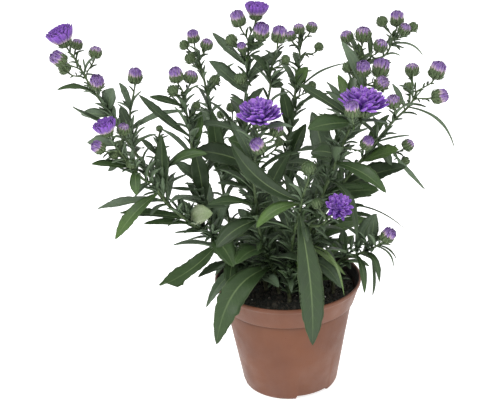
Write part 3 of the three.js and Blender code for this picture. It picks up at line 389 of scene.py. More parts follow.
# The share of the small leaves that a barer stem keeps
SPARSE = {"right": 0.45, "right_mid": 0.7, "right_low": 0.6, "left_mid": 0.8}

# How far a stem's leaves lie toward the paler blue green: partly their own greyer green, partly painted
# light on the lit left side of the plant
BLUER_AND_LIT = {"left": 0.34, "left_mid": 0.24, "left_back": 0.24}

# Stems in millimetres: the height where they start, how far they rise to where they have leaned by FIRST_LEAN
# of the way to their first point, and the radii that their solids have
STEM_START = 88
FIRST_RISE = 12
FIRST_LEAN = 0.12
FOOT_RADIUS = 2.2
TIP_RADIUS = 1.0
SIDE_RADIUS = 1.2
STALK_RADIUS = 0.75

# The pot in millimetres. Its collar stands COLLAR_TAPER inside the lip at its foot.
POT_HEIGHT = 94
RIM_RADIUS = 60
COLLAR_TAPER = 5.4
LIP_EDGE = 0.4
SOIL_TOP = 85.5
DRAIN_RING = 22
DRAIN_RADIUS = 4

# Where a head's petals start above their cup, as a share of the cup and then in millimetres
SEAT = 0.36
SEAT_GAP = 0.35

# How far leaves fold up and wave, as shares of their half width, the turn from one to the next up a stem, in
# degrees, and the length in millimetres from which one gets the finest surface
FOLD = 0.34
WAVE = 0.1
GOLDEN_ANGLE = 137.5
BROAD_LEAF = 46

# How far in millimetres the points of a leaf keep from other leaves, stems, heads, soil and lip, how far the
# lip reaches to either side for that, the step between the points, and the share of a leaf that may touch its
# own stem. All of it is as the solids are laid.
CLEAR_OF_BLADE = 3.4
CLEAR_OF_STEM = 1.9
CLEAR_OF_HEAD = 1.6
CLEAR_OF_SOIL = 3
CLEAR_OF_LIP = 2
LIP_INSIDE = 5
LIP_OUTSIDE = 2.5
SAMPLE_STEP = 4
OWN_SHARE = 0.4

# The order of the finishes on a leafy stem and on the soil, and the first seed of each kind of part
STEM_LOOK, LEAF_LOOK, BRACT_LOOK = range(3)
MIX_LOOK, BARK_LOOK, PERLITE_LOOK = range(3)
SEEDS = {
    "soil": 11, "broad": 100, "slim": 200, "leaflets": 300, "small": 400, "stalks": 500, "cups": 600,
    "bracts": 700, "petals": 900,
}
CUPS_TO_A_STEM = 40

# Where the recesses of the pot's base are around it, and how wide each is to either side
RECESSES = np.radians(-63 + 120 * np.arange(3))
RECESS_HALF_ANGLE = np.radians(22.5)

# The directions up, and square to the photo's view and toward it
UP = np.array([0.0, 0.0, 1.0])
FRONT = np.array([0.0, -0.92, 0.39])


def linear(code):
    """The scene-linear red, green and blue of a colour written as #rrggbb."""
    value = np.array([int(code[i : i + 2], 16) for i in (1, 3, 5)]) / 255
    return tuple(np.where(value <= 0.04045, value / 12.92, ((value + 0.055) / 1.055) ** 2.4).tolist())


def colour_property(name, description, code):
    """A colour that the panel shows, given as #rrggbb."""
    return FloatVectorProperty(
        name=name, description=description, subtype="COLOR", size=3, min=0, max=1, default=linear(code)
    )


def length_property(name, description, millimetres):
    """A length that the panel shows, given in millimetres."""
    return FloatProperty(name=name, description=description, default=millimetres * MM, min=0, unit="LENGTH")


# Directions and curves


def unit(vectors):
    """Each vector divided by its length."""
    return vectors / np.linalg.norm(vectors, axis=-1, keepdims=True)


def any_side(direction):
    """A direction square to the given one."""
    away = (0.0, 1.0, 0.0) if abs(direction[1]) < 0.8 else (1.0, 0.0, 0.0)
    return unit(np.cross(direction, away))


def turned_about(vector, axis, angle):
    """A vector square to the axis, turned about it."""
    return vector * np.cos(angle) + np.cross(axis, vector) * np.sin(angle)


def twisted(side, face, angle):
    """Two directions square to each other, turned about the third by an angle."""
    return side * np.cos(angle) + face * np.sin(angle), face * np.cos(angle) - side * np.sin(angle)


class Shoot:
    """A curve through points. Between two of them it is the cubic whose slope at each is half the step
    between that point's neighbours."""

    def __init__(self, points):
        points = np.array(points, float)
        self.points = np.vstack([2 * points[0] - points[1], points, 2 * points[-1] - points[-2]])

    def at(self, t):
        """The point at t, which goes from 0 at the first point to 1 at the last."""
        spans = len(self.points) - 3
        x = np.asarray(t, float) * spans
        i = np.minimum(np.floor(x).astype(int), spans - 1)
        w = (x - i)[..., None]
        before, here, after, beyond = (self.points[i + k] for k in range(4))
        slope, next_slope = 0.5 * (after - before), 0.5 * (beyond - here)
        square = 3 * (after - here) - 2 * slope - next_slope
        cube = 2 * (here - after) + slope + next_slope
        return here + w * (slope + w * (square + w * cube))


class Bend:
    """A curve drawn by three or four control points: each is weighted by its term of (1 - t + t) to the power
    of their number less one."""

    def __init__(self, *points):
        self.points = np.array(points, float)

    def at(self, t):
        """The point at t, from 0 to 1."""
        t = np.asarray(t, float)[..., None]
        power = len(self.points) - 1
        terms = {2: (1, 2, 1), 3: (1, 3, 3, 1)}[power]
        return sum(
            terms[k] * (1 - t) ** (power - k) * t**k * point for k, point in enumerate(self.points)
        )


def heading(curve, t):
    """The direction of a curve, from two points close to t."""
    t = np.asarray(t, float)
    return unit(curve.at(np.clip(t + 1e-4, 0, 1)) - curve.at(np.clip(t - 1e-4, 0, 1)))


def length_of(curve):
    """The length of a curve, in 200 steps."""
    return float(np.linalg.norm(np.diff(curve.at(np.linspace(0, 1, 201)), axis=0), axis=1).sum())


# The plan of the plant, worked out as its solids are


class Chance:
    """A fixed run of numbers from 0 to 1: each draw is the last one times 1664525 plus 1013904223, within 32
    bits."""

    def __init__(self):
        self.draw = 20261

    def __call__(self):
        self.draw = (self.draw * 1664525 + 1013904223) % 4294967296
        return self.draw / 4294967296


def mix(a, b, share):
    """From a to b by a share."""
    return a + (b - a) * share


def blade_width(t):
    """Share of a blade's width at t: a narrow foot, long nearly even sides, widest past the middle, a short
    point."""
    return 0.1 * (1 - t) + np.abs(np.sin(np.pi * t**1.15)) ** 0.75


class Blade:
    """A leaf's midrib, an arch over the straight line from root to tip, and the direction across it. tone is
    its green where that is given, and torn says whether one side of its tip is missing."""

    def __init__(self, root, tip, width, rise, facing):
        root, tip = np.asarray(root, float), np.asarray(tip, float)
        chord = tip - root
        self.length = float(np.linalg.norm(chord))
        chord = chord / self.length
        bow = UP - chord * chord[2]
        if np.linalg.norm(bow) < 0.15:
            bow = np.array([0.0, -1.0, 0.0]) + chord * chord[1]
        bow = unit(bow)
        middle = (root + tip) / 2 + bow * (2 * rise * self.length)
        face = mix(bow, FRONT, facing) - chord * (chord @ FRONT) * facing
        self.midrib = Bend(root, middle, tip)
        self.side = unit(np.cross(chord, face))
        self.width = width
        self.tone, self.torn = None, False

    def samples(self):
        """Points spread over the blade, row by row, and whether each lies in its outer part."""
        along = int(np.ceil(self.length / SAMPLE_STEP))
        across = np.array([-1, -0.5, 0, 0.5, 1] if self.width > 6 else [-1, 0, 1])
        t = np.arange(1, along + 1) / along
        half = 0.5 * self.width * blade_width(t)
        grid = self.midrib.at(t)[:, None] + self.side * (half[:, None] * across)[..., None]
        points = grid.reshape(-1, 3)
        return points, np.arange(len(points)) > OWN_SHARE * len(points)


class Room:
    """Balls that a blade must keep clear of, and whose they are."""

    def __init__(self):
        self.balls = np.empty((0, 4))
        self.owners = np.empty(0, int)
        self.names = {}

    def take(self, points, radius, owner):
        """Adds balls of a radius about the points."""
        points = np.atleast_2d(points)
        radius = np.broadcast_to(radius, len(points))
        self.balls = np.vstack([self.balls, np.column_stack([points, radius])])
        number = self.names.setdefault(owner, len(self.names))
        self.owners = np.append(self.owners, np.full(len(points), number))

    def clear(self, blade, owner):
        """Whether a blade keeps out of the soil, the pot's lip and the balls, apart from its own stem's near
        its root."""
        points, outer = blade.samples()
        radius = np.hypot(points[:, 0], points[:, 1])
        over_soil = radius < RIM_RADIUS - LIP_INSIDE
        over_lip = ~over_soil & (radius < RIM_RADIUS + LIP_OUTSIDE)
        height = points[:, 2]
        low = over_soil & (height <= SOIL_TOP + CLEAR_OF_SOIL)
        low |= over_lip & (height <= POT_HEIGHT + CLEAR_OF_LIP)
        if low.any():
            return False
        reach = self.balls[:, 3:]
        centres = self.balls[:, :3]
        near = ((centres > points.min(0) - reach) & (centres < points.max(0) + reach)).all(1)
        balls, own = self.balls[near], self.owners[near] == self.names[owner]
        distance = ((points[:, None] - balls[None, :, :3]) ** 2).sum(-1)
        met = distance < balls[:, 3] ** 2
        return not (met & ~(own[None] & ~outer[:, None])).any()

    def place(self, candidates, owner):
        """The first blade that is clear takes its room."""
        for blade in candidates:
            if self.clear(blade, owner):
                self.take(blade.samples()[0], CLEAR_OF_BLADE, owner)
                return blade
        return None


def cup_diameter(form, size):
    """The diameter of the green cup under a head."""
    return size * {"open": 0.34, "brush": 0.52}.get(form, 1)


class Plan:
    """Where every shoot, stalk, head and leaf of the plant is."""

    def __init__(self):
        self.shoots, self.heads, self.leaves = {}, [], []
        for name, shoot in SHOOTS.items():
            foot = np.array([*shoot["foot"], STEM_START], float)
            rising = mix(foot, np.array(shoot["through"][0], float), FIRST_LEAN)
            rising[2] = STEM_START + FIRST_RISE
            curve = Shoot([foot, rising, *shoot["through"]])
            self.add_shoot(name, name, curve, FOOT_RADIUS, len(shoot["through"]) + 3)
        for name, (carrier, at, through) in SIDE_SHOOTS.items():
            curve = Shoot([self.axis_point(carrier, at), *through])
            self.add_shoot(name, carrier, curve, SIDE_RADIUS, len(through) + 1)
        self.room = Room()
        for shoot in self.shoots.values():
            t = np.linspace(0, 1, int(np.ceil(length_of(shoot["curve"]) / 3)) + 1)
            radii = mix(shoot["radius"], TIP_RADIUS, t) + CLEAR_OF_STEM
            self.room.take(shoot["curve"].at(t), radii, shoot["stem"])
        for name, rows in HEADS.items():
            for row in rows:
                self.add_head(name, *row)
        for head in self.heads:
            points = head["stalk"].at(np.arange(1, 6) / 6)
            self.room.take(points, STALK_RADIUS + CLEAR_OF_STEM, head["stem"])
        for row in LEAVES:
            self.add_large_leaf(*row)
        chance = Chance()
        for name in SHOOTS:
            self.add_run(name, chance)
        for row in SMALL_LEAVES:
            self.add_large_leaf(*row)

    def add_shoot(self, name, stem, curve, radius, steps):
        self.shoots[name] = {"curve": curve, "stem": stem, "radius": radius, "steps": steps}

    def axis_point(self, name, t):
        """A point on a shoot's axis, taken straight from section to section."""
        curve, steps = self.shoots[name]["curve"], self.shoots[name]["steps"]
        section = min(int(t * steps), steps - 1)
        return mix(curve.at(section / steps), curve.at((section + 1) / steps), t * steps - section)

    def add_head(self, shoot, at, form, size, base, face):
        base, face = np.array(base, float), unit(np.array(face, float))
        stem, cup = self.shoots[shoot]["stem"], cup_diameter(form, size)
        self.room.take(base + face * 0.3 * cup, 0.55 * cup + CLEAR_OF_HEAD, stem)
        seat = base + face * (SEAT * cup + SEAT_GAP)
        if form == "open":
            side = any_side(face)
            for i in range(12):
                edge = seat + turned_about(side, face, i * np.pi / 6) * 0.36 * size + face * 0.18 * size
                self.room.take(edge, 0.17 * size + CLEAR_OF_HEAD, "petals")
        if form != "green":
            reach = {"open": 0.22, "brush": 0.5, "barrel": 0.48, "tipped": 0.42}[form]
            middle = {"open": 0.2, "brush": 0.36, "barrel": 0.34, "tipped": 0.12}[form]
            self.room.take(seat + face * middle * size, reach * size + CLEAR_OF_HEAD, "petals")
        start = self.axis_point(shoot, at)
        reach = 0.38 * np.linalg.norm(base - start)
        leaving = start + heading(self.shoots[shoot]["curve"], at) * reach
        self.heads.append({
            "stem": stem, "form": form, "size": size, "cup": cup, "base": base, "face": face, "seat": seat,
            "stalk": Bend(start, leaving, base - face * reach, base),
        })

    def add_leaf(self, candidates, stem, at):
        blade = self.room.place(candidates, stem)
        if blade is not None:
            blade.stem, blade.height = stem, at
            self.leaves.append(blade)
        return blade

    def add_large_leaf(self, shoot, at, tip, width, rise, facing, tone=None):
        """A leaf that meets a neighbour is slid to the back or the front, then lifted a little."""
        root, tip = self.axis_point(shoot, at), np.array(tip, float)
        slide = np.array([0.0, 0.92, -0.39])
        candidates = (
            Blade(root, tip + slide * step + UP * lift, width, rise, facing)
            for lift in (0, 5, -5, 10)
            for step in (0, -6, 6, -12, 12, -18, 18, -24, 24)
        )
        blade = self.add_leaf(candidates, self.shoots[shoot]["stem"], at)
        if blade is not None:
            blade.tone, blade.torn = tone, (shoot, at) == TORN_LEAF

    def add_run(self, name, chance):
        """The stem's other leaves: a spiral, shorter, narrower and steeper toward the top."""
        count, span, long, wide = SHOOTS[name]["fill"]
        start = 360 * chance()
        for i in range(count):
            share = i / (count - 1)
            at = mix(*span, share**1.2)
            root = self.axis_point(name, at)
            length = mix(*long, share) * (0.85 + 0.3 * chance())
            width = mix(*wide, share) * (0.9 + 0.2 * chance())
            turn = start + GOLDEN_ANGLE * i
            tilt = mix(12, 48, share) + 14 * (chance() - 0.5)
            rise = 0.04 + 0.12 * chance()

            def toward(more_turn, more_tilt):
                angle, pitch = np.radians(turn + more_turn), np.radians(tilt + more_tilt)
                way = np.array([np.cos(angle) * np.cos(pitch), np.sin(angle) * np.cos(pitch), np.sin(pitch)])
                return Blade(root, root + way * length, width, rise, 0)

            candidates = (toward(a, b) for b in (0, 14, -14) for a in (0, 18, -18, 36, -36, 54, -54))
            self.add_leaf(candidates, name, at)


# Surfaces


class Surface:
    """Grids of points gathered into one mesh. Each point also carries lay, which is how far across and along
    its petal or leaf it is and the tint of that one, and under, which is 1 on its lower side."""

    def __init__(self):
        self.blocks = []
        self.count = 0

    def add(self, grid, lay=0.0, under=0.0, look=0, start=None, end=None, closed=True):
        """grid is items by rows by ring by 3. Each row is joined to the next by quads, all round if closed.
        start and end are a point for each item, which closes its first or last row."""
        items, rows, ring = grid.shape[:3]
        lay = np.broadcast_to(lay, (items, rows, ring, 3))
        under = np.broadcast_to(under, (items, rows, ring))
        i, j = np.meshgrid(np.arange(rows - 1), np.arange(ring if closed else ring - 1), indexing="ij")
        k = (j + 1) % ring
        here, beyond = i * ring, (i + 1) * ring
        quads = np.stack([here + j, here + k, beyond + k, beyond + j], -1).reshape(-1, 4)
        points, lays = [grid.reshape(items, -1, 3)], [lay.reshape(items, -1, 3)]
        unders = [under.reshape(items, -1)]
        fans, size, around = [], rows * ring, np.arange(ring)
        for pole, row, ends in ((start, 0, False), (end, rows - 1, True)):
            if pole is None:
                continue
            a, b = row * ring + around, row * ring + (around + 1) % ring
            top = np.full(ring, size)
            fans.append(np.stack([a, b, top] if ends else [b, a, top], -1))
            points.append(np.broadcast_to(pole, (items, 3))[:, None])
            lays.append(lay[:, row].mean(1)[:, None])
            unders.append(under[:, row].mean(1)[:, None])
            size += 1
        shift = (self.count + size * np.arange(items))[:, None, None]
        tris = (np.vstack(fans)[None] + shift).reshape(-1, 3) if fans else np.empty((0, 3), int)
        quads = (quads[None] + shift).reshape(-1, 4)
        self.blocks.append({
            "points": np.concatenate(points, 1).reshape(-1, 3),
            "lay": np.concatenate(lays, 1).reshape(-1, 3),
            "under": np.concatenate(unders, 1).reshape(-1),
            "quads": quads, "tris": tris, "look": look,
        })
        self.count += items * size

    def piece(self, name, looks, nodes=()):
        """The gathered grids as one Blender object, which rides on the plant and stands for the nodes."""
        mesh = bpy.data.meshes.new(name)

        def gather(key):
            return np.concatenate([block[key] for block in self.blocks])

        points = gather("points") * MM
        mesh.vertices.add(len(points))
        mesh.vertices.foreach_set("co", points.ravel())
        loops = np.concatenate([np.concatenate([b["quads"].ravel(), b["tris"].ravel()]) for b in self.blocks])
        sizes = np.concatenate([np.repeat([4, 3], [len(b["quads"]), len(b["tris"])]) for b in self.blocks])
        worn = np.concatenate([np.full(len(b["quads"]) + len(b["tris"]), b["look"]) for b in self.blocks])
        mesh.loops.add(len(loops))
        mesh.loops.foreach_set("vertex_index", loops)
        mesh.polygons.add(len(sizes))
        mesh.polygons.foreach_set("loop_start", np.cumsum(sizes) - sizes)
        mesh.polygons.foreach_set("material_index", worn)
        mesh.polygons.foreach_set("use_smooth", np.ones(len(sizes), bool))
        mesh.attributes.new("lay", "FLOAT_VECTOR", "POINT").data.foreach_set("vector", gather("lay").ravel())
        mesh.attributes.new("under", "FLOAT", "POINT").data.foreach_set("value", gather("under"))
        mesh.update(calc_edges=True)
        for look in looks:
            mesh.materials.append(look)
        item = bpy.data.objects.new(name, mesh)
        bpy.context.scene.collection.objects.link(item)
        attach(item, "root")
        if nodes:
            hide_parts(*nodes)
        return item


def rod(curve, stations, radii, sides, ribs=0.0):
    """A round rod: at each station of the curve, a circle of its radius square to the curve, with five
    shallow ribs along it."""
    t = np.asarray(stations, float)
    centre, along = curve.at(t), heading(curve, t)
    square = np.eye(3)[np.abs(along).max(0).argmin()]
    across = unit(np.cross(along, square))
    over = np.cross(along, across)
    angle = 2 * np.pi * np.arange(sides) / sides
    radius = radii[:, None] * (1 + ribs * np.cos(5 * angle))
    return (
        centre[:, None]
        + across[:, None] * (radius * np.cos(angle))[..., None]
        + over[:, None] * (radius * np.sin(angle))[..., None]
    )[None]


# Where the corners of a strap's cross-section lie, as shares of its half width: over the top, then back below
WIDE = (-1, -0.74, -0.42, -0.14, 0, 0.14, 0.42, 0.74, 1), (0.6, 0.15, 0, -0.15, -0.6)
SLIM = (-1, -0.5, 0, 0.5, 1), (0.5, 0, -0.5)
THIN = (-1, 0, 1), (0,)


def strap(surface, centre, side, face, half, t, lift, thick, section, tint, look, end, kept=None):
    """A thin closed strap for each item: at each row, its half width times each share of the cross-section,
    times the part kept there, is laid off along side, and lift(share, row) along face, less the thickness
    below."""
    top, back = section
    share = np.array(top + back, float)
    under = np.array([0.0] * len(top) + [1.0] * len(back))
    kept_share = 1.0 if kept is None else kept(share)
    height = lift(share) - under * thick(share)
    grid = (
        centre[:, :, None]
        + side[:, :, None] * (half[:, :, None] * share * kept_share)[..., None]
        + face[:, :, None] * height[..., None]
    )
    lay = np.stack(np.broadcast_arrays(share, t[None, :, None], tint[:, None, None]), -1)
    surface.add(grid, lay, under, look, start=centre[:, 0], end=end)


def inside_plant(blades):
    """The blades whose tips lie within the box of all the stems."""
    low, high = (
        np.array([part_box(f"stem_{name}")[side] for name in SHOOTS]) / MM for side in (0, 1)
    )
    low, high = low.min(0) + 1.8, high.max(0) - 1.8
    tips = [blade.midrib.points[2] for blade in blades]
    return [blade for blade, tip in zip(blades, tips) if ((tip > low) & (tip < high)).all()]


def leaf_blades(surface, blades, rows, section, seed, green):
    """Leaves: a strap along each midrib, as wide as blade_width says, with forward teeth on its edges, folded
    up from the midrib by a power of the share across, waved, and turned a little toward its tip."""
    if not blades:
        return
    draw = np.random.default_rng(seed)
    count = len(blades)
    t = np.arange(rows) / rows
    t = t + 0.12 * t * (1 - t)
    root, middle, tip = (np.array([blade.midrib.points[k] for blade in blades])[:, None] for k in range(3))
    long = np.array([blade.length for blade in blades])[:, None]
    wide = np.array([blade.width for blade in blades])[:, None]
    w = t[None, :, None]
    centre = (1 - w) ** 2 * root + 2 * w * (1 - w) * middle + w**2 * tip
    along = unit((1 - w) * (middle - root) + w * (tip - middle))
    side = np.broadcast_to(np.array([blade.side for blade in blades])[:, None], centre.shape)
    face = unit(np.cross(side, along))
    turn = (draw.uniform(-0.5, 0.5, (count, 1)) * np.clip(t - 0.25, 0, 1))[..., None]
    side, face = twisted(side, face, turn)
    tooth = 0.13 * ((t * rows / 3) % 1) * np.clip(2.5 * t - 0.6, 0, 1) * (wide > 4)
    ragged = 1 + draw.uniform(-0.045, 0.045, (count, rows)) * (wide > 4)
    half = 0.5 * wide * blade_width(t) * (1 + tooth) * ragged
    steps = np.select([long < 24, long < 46, long < 75], [2, 3, 4], 6)
    swing = -np.cos(np.pi * steps * t) * np.clip(t * steps, 0, 1) * (steps > 3)
    ripple = draw.uniform(0.03, 0.1, (count, 1)) * np.sin(
        2 * np.pi * (draw.uniform(1.2, 2.6, (count, 1)) * t + draw.uniform(0, 1, (count, 1)))
    )
    sag = draw.uniform(-0.01, 0.03, (count, 1)) * long * np.clip(t - 0.4, 0, 1) ** 2 * 3

    def lift(share):
        edge = np.abs(share)
        groove = 0.16 * np.exp(-((share / 0.12) ** 2))
        rise = half[..., None] * (
            FOLD * edge**1.4 + 0.8 * WAVE * swing[..., None] * share + ripple[..., None] * share * edge
        )
        return rise - (groove + sag[..., None]) * (1 - 0.5 * t[None, :, None])

    def thick(share):
        edge = np.abs(share)
        keel = 0.75 * np.exp(-((share / 0.1) ** 2)) * (1 - 0.8 * t[None, :, None])
        return 0.22 + 0.14 * (1 - edge) + keel

    def kept(share):
        torn = np.array([blade.torn for blade in blades])[:, None, None] & (share < -0.1)
        lobe = np.where(t[:, None] > 0.87, 0.04, 1 + 8 * np.clip(t[:, None] - 0.68, 0, 1))
        return np.where(torn, lobe, 1.0)

    tint = np.clip(green + draw.uniform(-0.28, 0.28, count), 0, 1)
    tint = np.array([chance if blade.tone is None else blade.tone for chance, blade in zip(tint, blades)])
    strap(surface, centre, side, face, half, t, lift, thick, section, tint, LEAF_LOOK, tip[:, 0], kept)


def ray_layers(draw, seat, face, size, layers, t, spread, control_share):
    """The midlines of petals or bracts around an axis, layer by layer: each is a bend in the plane of
    distance from the axis and height along it. A layer is its count, the foot, the control point and the tip
    of the midline, and the width, all in shares of the size, then how far its tips stray, and its control
    points by a share of that. Gives the width, the way round, the midlines, their directions and ends."""
    across = any_side(face)
    over = np.cross(face, across)
    w = t[None, :, None]
    for number, (count, foot, control, tip, width, stray) in enumerate(layers):
        stagger = 0.5 * (number % 2)
        angle = 2 * np.pi * (np.arange(count) + stagger + draw.uniform(-spread, spread, count)) / count
        out = across * np.cos(angle)[:, None] + over * np.sin(angle)[:, None]
        around = over * np.cos(angle)[:, None] - across * np.sin(angle)[:, None]
        plane = np.array([foot, control, tip], float)[None] * np.ones((count, 1, 1))
        plane[:, 2] += draw.uniform(-stray, stray, (count, 2))
        if control_share:
            plane[:, 1] += draw.uniform(-stray, stray, (count, 2)) * control_share
        first, middle, last = (plane[:, k : k + 1] for k in range(3))
        flat = (1 - w) ** 2 * first + 2 * w * (1 - w) * middle + w**2 * last
        slope = unit((1 - w) * (middle - first) + w * (last - middle))
        centre = seat + (out[:, None] * flat[..., :1] + face * flat[..., 1:]) * size
        along = out[:, None] * slope[..., :1] + face * slope[..., 1:]
        end = seat + (out * plane[:, 2, :1] + face * plane[:, 2, 1:]) * size
        yield width, around, centre, along, end


def ray_petals(surface, head, layers, look, seed):
    """Petals around a head's axis. The width of each swells from the foot and rounds off at the tip, its
    edges stand up a little, and it swerves and turns a little toward the tip."""
    draw = np.random.default_rng(seed)
    size = head["size"]
    t = np.array([0, 0.2, 0.4, 0.6, 0.76, 0.88, 0.96])
    round_off = np.sqrt(1 - np.clip((t - 0.66) / 0.34, 0, 1) ** 2.4)
    for width, around, centre, along, end in ray_layers(
        draw, head["seat"], head["face"], size, layers, t, 0.22, 0.5
    ):
        count = len(around)
        swerve = (draw.uniform(-0.09, 0.09, (count, 1)) * t**1.6)[..., None] * size
        centre, end = centre + around[:, None] * swerve, end + around * swerve[:, -1]
        side = np.broadcast_to(-around[:, None], centre.shape)
        normal = np.cross(side, along)
        turn = (draw.uniform(-0.6, 0.6, (count, 1)) * t)[..., None]
        side, normal = twisted(side, normal, turn)
        half = 0.5 * width * size * (0.42 + 0.58 * np.sin(np.pi * np.minimum(t / 1.4, 0.5))) * round_off
        half = half * draw.uniform(0.85, 1.15, (count, 1))

        def lift(share):
            return half[..., None] * (0.26 * np.abs(share) ** 1.5 - 0.09 * np.exp(-((share / 0.25) ** 2)))

        def thick(share):
            return 0.16 + 0.1 * (1 - np.abs(share))[None, None] * np.ones((count, len(t), 1))

        tint = draw.uniform(0, 1, count)
        strap(surface, centre, side, normal, half, t, lift, thick, SLIM, tint, look, end)


def cup_bracts(surface, head, layers, look, seed):
    """The green bracts of a head's cup: pointed, hollow straps bent over the cup."""
    draw = np.random.default_rng(seed)
    size = head["cup"]
    t = np.array([0, 0.2, 0.42, 0.64, 0.84])
    for width, around, centre, along, end in ray_layers(
        draw, head["base"], head["face"], size, layers, t, 0.15, 0
    ):
        count = len(around)
        side = np.broadcast_to(around[:, None], centre.shape)
        normal = np.cross(side, along)
        half = 0.5 * width * size * (0.75 + 0.5 * t) * (1 - t**1.8) ** 0.8 * np.ones((count, 1))

        def lift(share):
            return half[..., None] * (0.16 * np.exp(-((share / 0.5) ** 2)) - 0.22 * np.abs(share) ** 2)

        def thick(share):
            return 0.25 + 0.12 * (1 - np.abs(share))[None, None] * np.ones((count, len(t), 1))

        tint = draw.uniform(0, 1, count)
        strap(surface, centre, side, normal, half, t, lift, thick, THIN, tint, look, end)


def rod_lay(along, tone, rows, sides):
    """What each point of a rod carries: how far along its shoot it is, and its tone."""
    return np.stack(np.broadcast_arrays(np.zeros((rows, 1)), along, np.full((1, sides), tone)), -1)[None]


def turned_body(surface, base, face, outline, size, sides, look, tint=0.5):
    """A body of revolution about a head's axis, through circles of the outline's radius and height, closed at
    both ends."""
    across = any_side(face)
    over = np.cross(face, across)
    angle = 2 * np.pi * np.arange(sides) / sides
    round_ = across * np.cos(angle)[:, None] + over * np.sin(angle)[:, None]
    radius, height = np.array(outline[1:-1], float).T * size
    grid = base + face * height[:, None, None] + round_[None] * radius[:, None, None]
    low, high = base + face * outline[0][1] * size, base + face * outline[-1][1] * size
    t = np.linspace(0, 1, len(radius))[:, None]
    lay = np.stack(np.broadcast_arrays(0 * angle, t, tint), -1)
    surface.add(grid[None], lay[None], 0.0, look, start=low[None], end=high[None])


# Finishes


def maths(operation, reflected=False):
    """A method that adds a Math node of this operation on two values."""

    def method(self, other):
        return self.math(operation, other, self) if reflected else self.math(operation, self, other)

    return method


class Value:
    """One output of a finish's nodes. + - * < and abs with it add Math nodes."""

    def __init__(self, finish, socket):
        self.finish, self.socket = finish, socket

    def math(self, operation, *values):
        return self.finish.add("ShaderNodeMath", {"operation": operation}, dict(enumerate(values)))[0]

    __add__ = __radd__ = maths("ADD")
    __mul__ = __rmul__ = maths("MULTIPLY")
    __sub__, __rsub__ = maths("SUBTRACT"), maths("SUBTRACT", reflected=True)
    __lt__ = maths("LESS_THAN")

    def __abs__(self):
        return self.math("ABSOLUTE", self)

    def sine(self):
        return self.math("SINE", self)

    def within(self, low, high, at_low=0.0, at_high=1.0):
        """Goes smoothly from at_low to at_high as the value goes from low to high."""
        settings = {"interpolation_type": "SMOOTHSTEP"}
        sockets = {"Value": self, "From Min": low, "From Max": high, "To Min": at_low, "To Max": at_high}
        return self.finish.add("ShaderNodeMapRange", settings, sockets)["Result"]


class Finish:
    """A material with one principled shader, whose nodes are added by one method."""

    def __init__(self, name, **fixed):
        self.material = bpy.data.materials.new(name)
        self.material.use_nodes = True
        self.tree = self.material.node_tree
        self.shader = self.tree.nodes["Principled BSDF"]
        for socket, value in fixed.items():
            self.shader.inputs[socket.replace("_", " ")].default_value = value

    def add(self, kind, settings=None, sockets=None):
        """A node of this kind with its settings, then the values or links of its sockets. The result gives
        the node's outputs by name or number."""
        node = self.tree.nodes.new(kind)
        for key, value in (settings or {}).items():
            if key == "stops":
                while len(node.color_ramp.elements) < len(value):
                    node.color_ramp.elements.new(0.5)
                for element, (place, shade) in zip(node.color_ramp.elements, value):
                    element.position, element.color = place, (*shade, 1)
            else:
                setattr(node, key, value)
        for key, value in (sockets or {}).items():
            if isinstance(value, Value):
                self.tree.links.new(value.socket, node.inputs[key])
            elif value is not None:
                node.inputs[key].default_value = value
        return Outputs(self, node)

    def lay(self):
        """Across, along and tint, as the surfaces carry them."""
        vector = self.add("ShaderNodeAttribute", {"attribute_name": "lay"})["Vector"]
        parts = self.add("ShaderNodeSeparateXYZ", None, {"Vector": vector})
        return parts[0], parts[1], parts[2]

    def under(self):
        """1 on the lower side of a petal or leaf, 0 elsewhere."""
        return self.add("ShaderNodeAttribute", {"attribute_name": "under"})["Fac"]

    def place(self):
        """The point on the surface, in metres."""
        return self.add("ShaderNodeTexCoord")["Object"]

    def upright(self, share):
        """The point with its height shrunk to a share, which draws a pattern out upright."""
        return self.add("ShaderNodeMapping", None, {"Vector": self.place(), "Scale": (1, 1, share)})["Vector"]

    def noise(self, scale, detail=2.0, vector=None, rough=0.5):
        """Soft noise from 0 to 1, about so many lumps to the metre."""
        sockets = {"Vector": vector or self.place(), "Scale": scale, "Detail": detail, "Roughness": rough}
        return self.add("ShaderNodeTexNoise", None, sockets)[0]

    def cells(self, scale):
        """Distance to the nearest of points scattered about so many to the metre."""
        return self.add("ShaderNodeTexVoronoi", None, {"Vector": self.place(), "Scale": scale})["Distance"]

    def shades(self, value, stops):
        """A colour from a ramp of places and colours."""
        return self.add("ShaderNodeValToRGB", {"stops": stops}, {0: value})["Color"]

    def blend(self, mask, low, high, how="MIX"):
        """One colour where the mask is 0, the other where it is 1."""
        low, high = (shade if isinstance(shade, Value) else (*shade, 1) for shade in (low, high))
        settings = {"data_type": "RGBA", "blend_type": how}
        return self.add("ShaderNodeMix", settings, {0: mask, 6: low, 7: high})[2]

    def show(self, colour, roughness, height=None, depth=0.0):
        """Links the colour and roughness, and raises the surface by depth metres where height is 1."""
        self.tree.links.new(colour.socket, self.shader.inputs["Base Color"])
        self.tree.links.new(roughness.socket, self.shader.inputs["Roughness"])
        if height is not None:
            bump = self.add("ShaderNodeBump", None, {"Height": height, "Distance": depth, "Strength": 1.0})
            self.tree.links.new(bump["Normal"].socket, self.shader.inputs["Normal"])
        return self.material


class Outputs:
    """A node's outputs."""

    def __init__(self, finish, node):
        self.finish, self.node = finish, node

    def __getitem__(self, key):
        return Value(self.finish, self.node.outputs[key])


